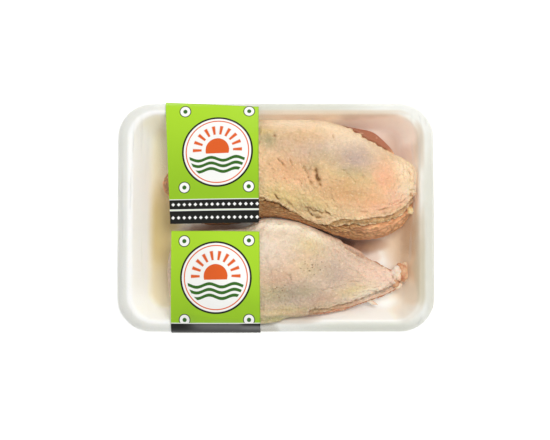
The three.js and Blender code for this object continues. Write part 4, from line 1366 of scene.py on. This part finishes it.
GRID_STEP = 1.5
FILM_GAP = 1.2  # how far the film stays over the smooth domes of the breasts, for the skin's relief
FREE_INSET = 2.5  # the sheet is held on the lip outside this inset
STRETCH_ROUNDS = 700
OVERSHOOT = 1.86  # how much further than its neighbours' mean a point moves, so that it settles sooner
SHEET = 0.1  # thickness of the film as shown
FOLD_INSET = 23.0  # where the sides meet the folds under the tray
SLOT_INSET = 102.0  # where the folds leave a slot open
LIP_SHARES = (0.22, 0.13, 0.07, 0.03, 0.01)  # of the crest's inset, from the crest outwards
TOP_INSETS = [*np.linspace(98, 12, 58), *np.linspace(11, 3.4, 12)]  # of the rings over the meat and crest
SIDE_RINGS = 12
FOLD_RINGS = 8


def breast_top(x, y):
    """Height of whatever lies under a place, without the skin's fine relief."""
    top = np.zeros(np.shape(x))
    for breast in (BACK, FRONT):
        cx, cy = breast["middle"]
        direction, out = np.arctan2(y - cy, x - cx), np.hypot(x - cx, y - cy)
        for radius_of, top_share in ((outline_radius, 1), (flesh_radius, FLESH_TOP)):
            share = out / radius_of(breast, direction)
            top = np.maximum(top, np.where(share < 1, dome_height(breast, share, x, y, top_share), 0))
    return top


def stretched_film():
    """The heights of a stretched sheet on a grid, never under what it lies on, and how to look them up."""
    nx = math.ceil(TRAY_LENGTH / 2 / GRID_STEP) + 1
    ny = math.ceil(TRAY_WIDTH / 2 / GRID_STEP) + 1
    x, y = np.meshgrid(np.arange(-nx, nx + 1) * GRID_STEP, np.arange(-ny, ny + 1) * GRID_STEP)
    inset = inset_of(x, y, CREST_INSET)
    lip = np.where(inset < CREST_INSET - 0.01, TRAY_BASE + CLEARANCE + lip_height(inset), 0)
    top = breast_top(x, y)
    beside = [np.roll(top, shift, axis) for axis in (0, 1) for shift in (-1, 1)]
    under = np.maximum(np.max([top, *beside], 0) + FILM_GAP, lip)
    free = inset > FREE_INSET
    free[[0, -1], :] = False
    free[:, [0, -1]] = False
    height = np.where(free, np.maximum(under, TRAY_BASE + CREST_HEIGHT), lip)
    parity = np.add.outer(np.arange(height.shape[0]), np.arange(height.shape[1])) % 2
    for step in range(2 * STRETCH_ROUNDS):
        mean = sum(np.roll(height, shift, axis) for axis in (0, 1) for shift in (1, -1)) / 4
        moved = np.maximum(height + OVERSHOOT * (mean - height), under)
        height = np.where(free & (parity == step % 2), moved, height)

    def height_at(px, py):
        """The sheet's height at a place, between the grid's four points round it."""
        u, v = px / GRID_STEP + nx, py / GRID_STEP + ny
        i = np.clip(np.floor(u).astype(int), 0, height.shape[1] - 2)
        j = np.clip(np.floor(v).astype(int), 0, height.shape[0] - 2)
        s, t = u - i, v - j
        near = height[j, i] * (1 - s) + height[j, i + 1] * s
        far = height[j + 1, i] * (1 - s) + height[j + 1, i + 1] * s
        return near * (1 - t) + far * t

    return height_at


def over_lip(reach):
    """Insets and heights a distance clear of the foam, down the outside of the lip."""
    for share in LIP_SHARES:
        inset = share * CREST_INSET
        yield inset - reach * (1 - share), TRAY_BASE + lip_height(inset) + reach * math.sqrt(share)


def film_rings(height_at, offset):
    """Rings of one face of the film, from the middle of the top down the sides to the folds below."""
    signs, turns = around_tray()

    def ring(inset, height):
        """The film's ring at an inset, at a given height or, with none given, on the stretched sheet."""
        half_x, half_y, radius = half_sizes(inset)
        x = signs[:, 0] * (half_x - radius) + turns[:, 0] * radius
        y = signs[:, 1] * (half_y - radius) + turns[:, 1] * radius
        z = height_at(x, y) + offset if height is None else np.full(x.shape, height)
        return np.stack([x, y, z], -1)

    reach = CLEARANCE + offset
    lip_under = TRAY_BASE + UNDER_LIP
    base = SHEET - offset
    rings = [ring(inset, None) for inset in TOP_INSETS]
    rings += [ring(inset, height) for inset, height in over_lip(reach)]
    for down in np.linspace(0, 1, SIDE_RINGS):
        inset = -reach + (FOLD_INSET - offset + reach) * down
        rings.append(ring(inset, lip_under + (base - lip_under) * down))
    rings += [ring(inset, base) for inset in np.linspace(FOLD_INSET, SLOT_INSET, FOLD_RINGS)[1:]]
    return np.array(rings)


def film_material():
    """Clear film: nothing but a thin reflection, stronger where the film is seen along its surface and in
    painted streaks near the tray's ends.
    """
    material, nodes, surface = new_material("clear_film")
    facing = Value(nodes, nodes.add("ShaderNodeLayerWeight", {}, {"Blend": 0.5}).outputs["Facing"])
    place = nodes.place()
    ends = nodes.smooth(abs(nodes.parts(place)[0]), 84 * MM, 104 * MM)
    # Long streaks near the tray's ends where the film reflects more: painted reflection, standing for
    # glints on its wrinkles.
    streaks = nodes.smooth(nodes.noise(place, 3.2, detail=1, stretch=(1, 22, 1)), 0.56, 0.72) * ends
    nodes.fill(surface, {"Base Color": (1, 1, 1, 1), "Metallic": 1.0, "Roughness": 0.12})
    nodes.fill(surface, {"Alpha": 0.008 + facing**4 * 0.4 + streaks * 0.12})
    nodes.fill(surface, {"Normal": nodes.bump(nodes.noise(place, 14, detail=1), 0.25)})
    return material


film_height = stretched_film()
outer_film = film_rings(film_height, SHEET)
inner_film = film_rings(film_height, 0)[::-1]
both_faces = np.concatenate([outer_film, inner_film])
film = closed_body(
    "stretch_film", outer_film[0].mean(0), both_faces, inner_film[-1].mean(0), film_material()
)
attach(film, "root")
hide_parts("film")

# The printed panels
# Two panels printed on the film in lime, black, white and orange, one behind the other. The front one runs
# on over the tray's lip.

PANEL_COLUMNS = 60
PANEL_ROWS = 90
PANEL_LIFT = 0.35  # how far the print is over the film
PANEL_THICKNESS = 0.1
UV_UNIT = 100  # a panel's UV map has one unit for this many millimetres

# The X of each panel's sides at its back and front, and the Y of its ends at the left and right.
PANELS = {
    "back": {"left": (-79.7, -75.2), "right": (-12.4, -11.9), "start": (82.9, 79.1), "end": (-6.0, -5.8)},
    "front": {"left": (-74.4, -75), "right": (-11.6, -11), "start": (-10.9, -12), "end": (-79.8, -79.8)},
}


def between(first, second, share):
    """From the first of two numbers to the second."""
    return first + (second - first) * share


def panel_line(panel, x, u):
    """Places along Y and heights on the film, along a panel at a given x."""
    y = np.linspace(between(*panel["start"], u), between(*panel["end"], u), PANEL_ROWS)
    line = np.stack([y, film_height(np.full(y.shape, x), y) + SHEET], -1)
    if panel is PANELS["front"]:
        reach = CLEARANCE + SHEET
        over = [(SIDE_SHARE * inset - TRAY_WIDTH / 2, z) for inset, z in over_lip(reach)]
        over.append((-TRAY_WIDTH / 2 - reach * SIDE_SHARE, TRAY_BASE + UNDER_LIP + 0.6))
        line = np.vstack([line, over])
    return line


def make_panel(name, panel, material):
    """A thin sheet a little over the film, with a UV map in lengths along and across the panel."""
    lower, upper, uv = [], [], []
    for u in np.arange(PANEL_COLUMNS + 1) / PANEL_COLUMNS:
        line = panel_line(panel, between(panel["left"][1], panel["right"][1], u), u)
        slope = np.gradient(line, axis=0)
        slope /= np.hypot(slope[:, 0], slope[:, 1])[:, None]
        v = np.linspace(0, 1, len(line))
        x = between(between(*panel["left"], v), between(*panel["right"], v), u)
        for side, lift in ((lower, PANEL_LIFT), (upper, PANEL_LIFT + PANEL_THICKNESS)):
            side.append(np.stack([x, line[:, 0] + slope[:, 1] * lift, line[:, 1] - slope[:, 0] * lift], -1))
        along = panel["start"][0] - line[:, 0]
        steps = np.hypot(*np.diff(line, axis=0).T)[PANEL_ROWS - 1 :]
        along[PANEL_ROWS:] = along[PANEL_ROWS - 1] + np.cumsum(steps)
        uv.append(np.stack([x - panel["left"][1], along], -1))
    columns, rows = PANEL_COLUMNS + 1, len(lower[0])
    at = np.arange(columns * rows).reshape(columns, rows)
    a, b, c, d = at[:-1, :-1], at[:-1, 1:], at[1:, 1:], at[1:, :-1]
    size = columns * rows
    top = np.stack([a, b, c, d], -1).reshape(-1, 4) + size
    bottom = np.stack([a, d, c, b], -1).reshape(-1, 4)
    loop = np.concatenate([at[:-1, 0], at[-1, :-1], at[:0:-1, -1], at[0, :0:-1]])
    after = np.roll(loop, -1)
    sides = np.stack([loop, after, after + size, loop + size], -1)
    faces = np.concatenate([top, bottom, sides]).tolist()
    points = np.concatenate([np.array(lower).reshape(-1, 3), np.array(upper).reshape(-1, 3)])
    piece = mesh_object(name, points, faces, material)
    flat = np.tile(np.array(uv).reshape(-1, 2), (2, 1)) / UV_UNIT
    layer = piece.data.uv_layers.new(name="print")
    corners = np.zeros(len(piece.data.loops), int)
    piece.data.loops.foreach_get("vertex_index", corners)
    layer.data.foreach_set("uv", flat[corners].ravel())
    return piece


PRINT_SOFTNESS = 0.25  # how wide the ink's soft edge is, in millimetres
FIELD_FADE = 75  # how far down the lime field goes on darkening
BADGE = {"edge": 25.5, "face": 24.2, "line": 22.4, "picture": 20.5}  # radii from the badge's middle
SUN_RADIUS = 8.5
SUN_RISE = 1.0  # how far over the badge's middle the sun's is
HORIZON = 1.5  # how far under it the sun is cut off
RAYS = 18  # in a whole turn
RAY_MIDDLE = 14.5  # how far from the sun's middle
HALF_RAY = 3.2
WAVES = (5.5, 9.5, 13.5)  # how far under the badge's middle each wave runs
SMALL_RINGS = ((10, 7.5), (56, 7.5), (10, 63), (56, 63))


def print_material(name, bands, badge):
    """Print on film: a lime field, a round badge with half a sun, small rings, and black bands."""
    material, nodes, surface = new_material(name)
    across, down, _ = nodes.parts(nodes.add("ShaderNodeUVMap", {"uv_map": "print"}).outputs[0])
    across, down = across * UV_UNIT, down * UV_UNIT

    def within(distance):
        """1 where a distance is below 0, with a soft edge."""
        return nodes.clamped(0.5 - distance / PRINT_SOFTNESS)

    def length(x, y):
        """The length of a step across and down."""
        return nodes.math("SQRT", x * x + y * y)

    white, black = colour(250, 250, 246), colour(24, 24, 20)
    orange, green = colour(226, 96, 34), colour(52, 104, 30)
    tone = nodes.mix(nodes.smooth(down, 0, FIELD_FADE), colour(172, 218, 44), colour(148, 196, 34))
    dx, dy = across - badge[0], down - badge[1]
    out = length(dx, dy)
    for radius, ink in ((BADGE["edge"], black), (BADGE["face"], white)):
        tone = nodes.mix(within(out - radius), tone, ink)
    tone = nodes.mix(within(abs(out - BADGE["line"]) - 0.4), tone, orange)
    sun = length(dx, dy + SUN_RISE)
    above = within(dy - HORIZON)
    angle = nodes.math("ARCTAN2", dy + SUN_RISE, dx)
    ray = abs(nodes.math("FRACT", angle * (RAYS / (2 * math.pi)) + 0.5, 0) - 0.5) - 0.2
    rays = nodes.clamped(0.5 - ray * 8) * within(abs(sun - RAY_MIDDLE) - HALF_RAY)
    tone = nodes.mix(within(sun - SUN_RADIUS) * above, tone, orange)
    tone = nodes.mix(rays * above, tone, orange)
    wave = nodes.math("SINE", dx * 0.35, 0) * 1.2
    for offset in WAVES:
        line = within(abs(dy - offset - wave) - 1.1) * within(out - BADGE["picture"])
        tone = nodes.mix(line, tone, green)
    for x, y in SMALL_RINGS:
        dot = length(across - x, down - y)
        for radius, ink in ((4.2, black), (3.6, white), (1.5, green)):
            tone = nodes.mix(within(dot - radius), tone, ink)
    for low, high in bands:
        half = (high - low) / 2
        away = abs(down - (low + high) / 2)
        tone = nodes.mix(within(away - half - 0.5), tone, white)
        tone = nodes.mix(within(away - half), tone, black)
        lozenge = abs(nodes.math("FRACT", across * 0.25, 0) - 0.5) * 4 + away
        tone = nodes.mix(within(lozenge - 1.3), tone, white)
    bumps = nodes.bump(nodes.noise(nodes.place(), 12, detail=2), 0.3)
    nodes.fill(surface, {"Base Color": tone, "Roughness": 0.45, "Specular IOR Level": 0.3, "Normal": bumps})
    nodes.fill(surface, {"Coat Weight": 0.06, "Coat Roughness": 0.1})
    return material


panel_prints = {
    "back": print_material("print_back", [(71.9, 78.6), (79.8, 89.5)], (33.5, 37.5)),
    "front": print_material("print_front", [(65.6, 92.0)], (32.5, 33.5)),
}
for name, panel in PANELS.items():
    piece = make_panel("panel_" + name + "_print", panel, panel_prints[name])
    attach(piece, "root")
    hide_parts("panel_" + name)

# The floor, the light and the camera
# A flat white floor that glows a little, one soft lamp over the back right, which nothing mirrors, a plain
# white sky, and a camera almost overhead.

HALF_FLOOR = 1500.0
floor_material, floor_nodes, floor_surface = new_material("pale_floor")
floor_clouds = floor_nodes.noise(floor_nodes.place(), 60, detail=3)
floor_tone = floor_nodes.mix(floor_clouds, colour(240, 240, 240), colour(246, 246, 246))
floor_nodes.fill(floor_surface, {"Base Color": floor_tone, "Roughness": 0.9})
floor_nodes.fill(floor_surface, {"Emission Color": (1, 1, 1, 1), "Emission Strength": 0.5})
floor_corners = [(x * HALF_FLOOR, y * HALF_FLOOR, 0) for x, y in ((-1, -1), (1, -1), (1, 1), (-1, 1))]
floor = mesh_object("floor", floor_corners, [(0, 1, 2, 3)], floor_material)

world = bpy.data.worlds.new("studio")
world.use_nodes = True
sky = world.node_tree.nodes["Background"]
sky.inputs["Color"].default_value = (1, 1, 1, 1)
sky.inputs["Strength"].default_value = 0.5
bpy.context.scene.world = world


def soft_light(name, place, aim, size, power):
    """A square area light at a place, in metres, turned towards a point. No surface mirrors it."""
    light = bpy.data.lights.new(name, "AREA")
    light.size = size
    light.energy = power
    lamp = bpy.data.objects.new(name, light)
    lamp.location = place
    lamp.visible_glossy = False
    lamp.rotation_euler = (Vector(aim) - Vector(place)).to_track_quat("-Z", "Y").to_euler()
    bpy.context.scene.collection.objects.link(lamp)


soft_light("key", place=(0.2, 0.2, 0.9), aim=(0, 0, 0.02), size=0.4, power=5.35)

CAMERA_DISTANCE = 1.1  # in metres, from the point that it aims at
CAMERA_ELEVATION = 86.0
CAMERA_AIM = (-0.66 * MM, -2.06 * MM, 18.7 * MM)
FRAME_WIDTH = 397.3 * MM  # what the frame's width spans at the aim
camera_data = bpy.data.cameras.new("camera")
camera_data.sensor_width = 36
camera_data.lens = 36 * CAMERA_DISTANCE / FRAME_WIDTH
camera = bpy.data.objects.new("camera", camera_data)
tilt = math.radians(CAMERA_ELEVATION)
camera.location = (
    CAMERA_AIM[0],
    CAMERA_AIM[1] - CAMERA_DISTANCE * math.cos(tilt),
    CAMERA_AIM[2] + CAMERA_DISTANCE * math.sin(tilt),
)
camera.rotation_euler = (math.pi / 2 - tilt, 0, 0)
bpy.context.scene.collection.objects.link(camera)
bpy.context.scene.camera = camera
bpy.context.scene.view_settings.view_transform = "Standard"
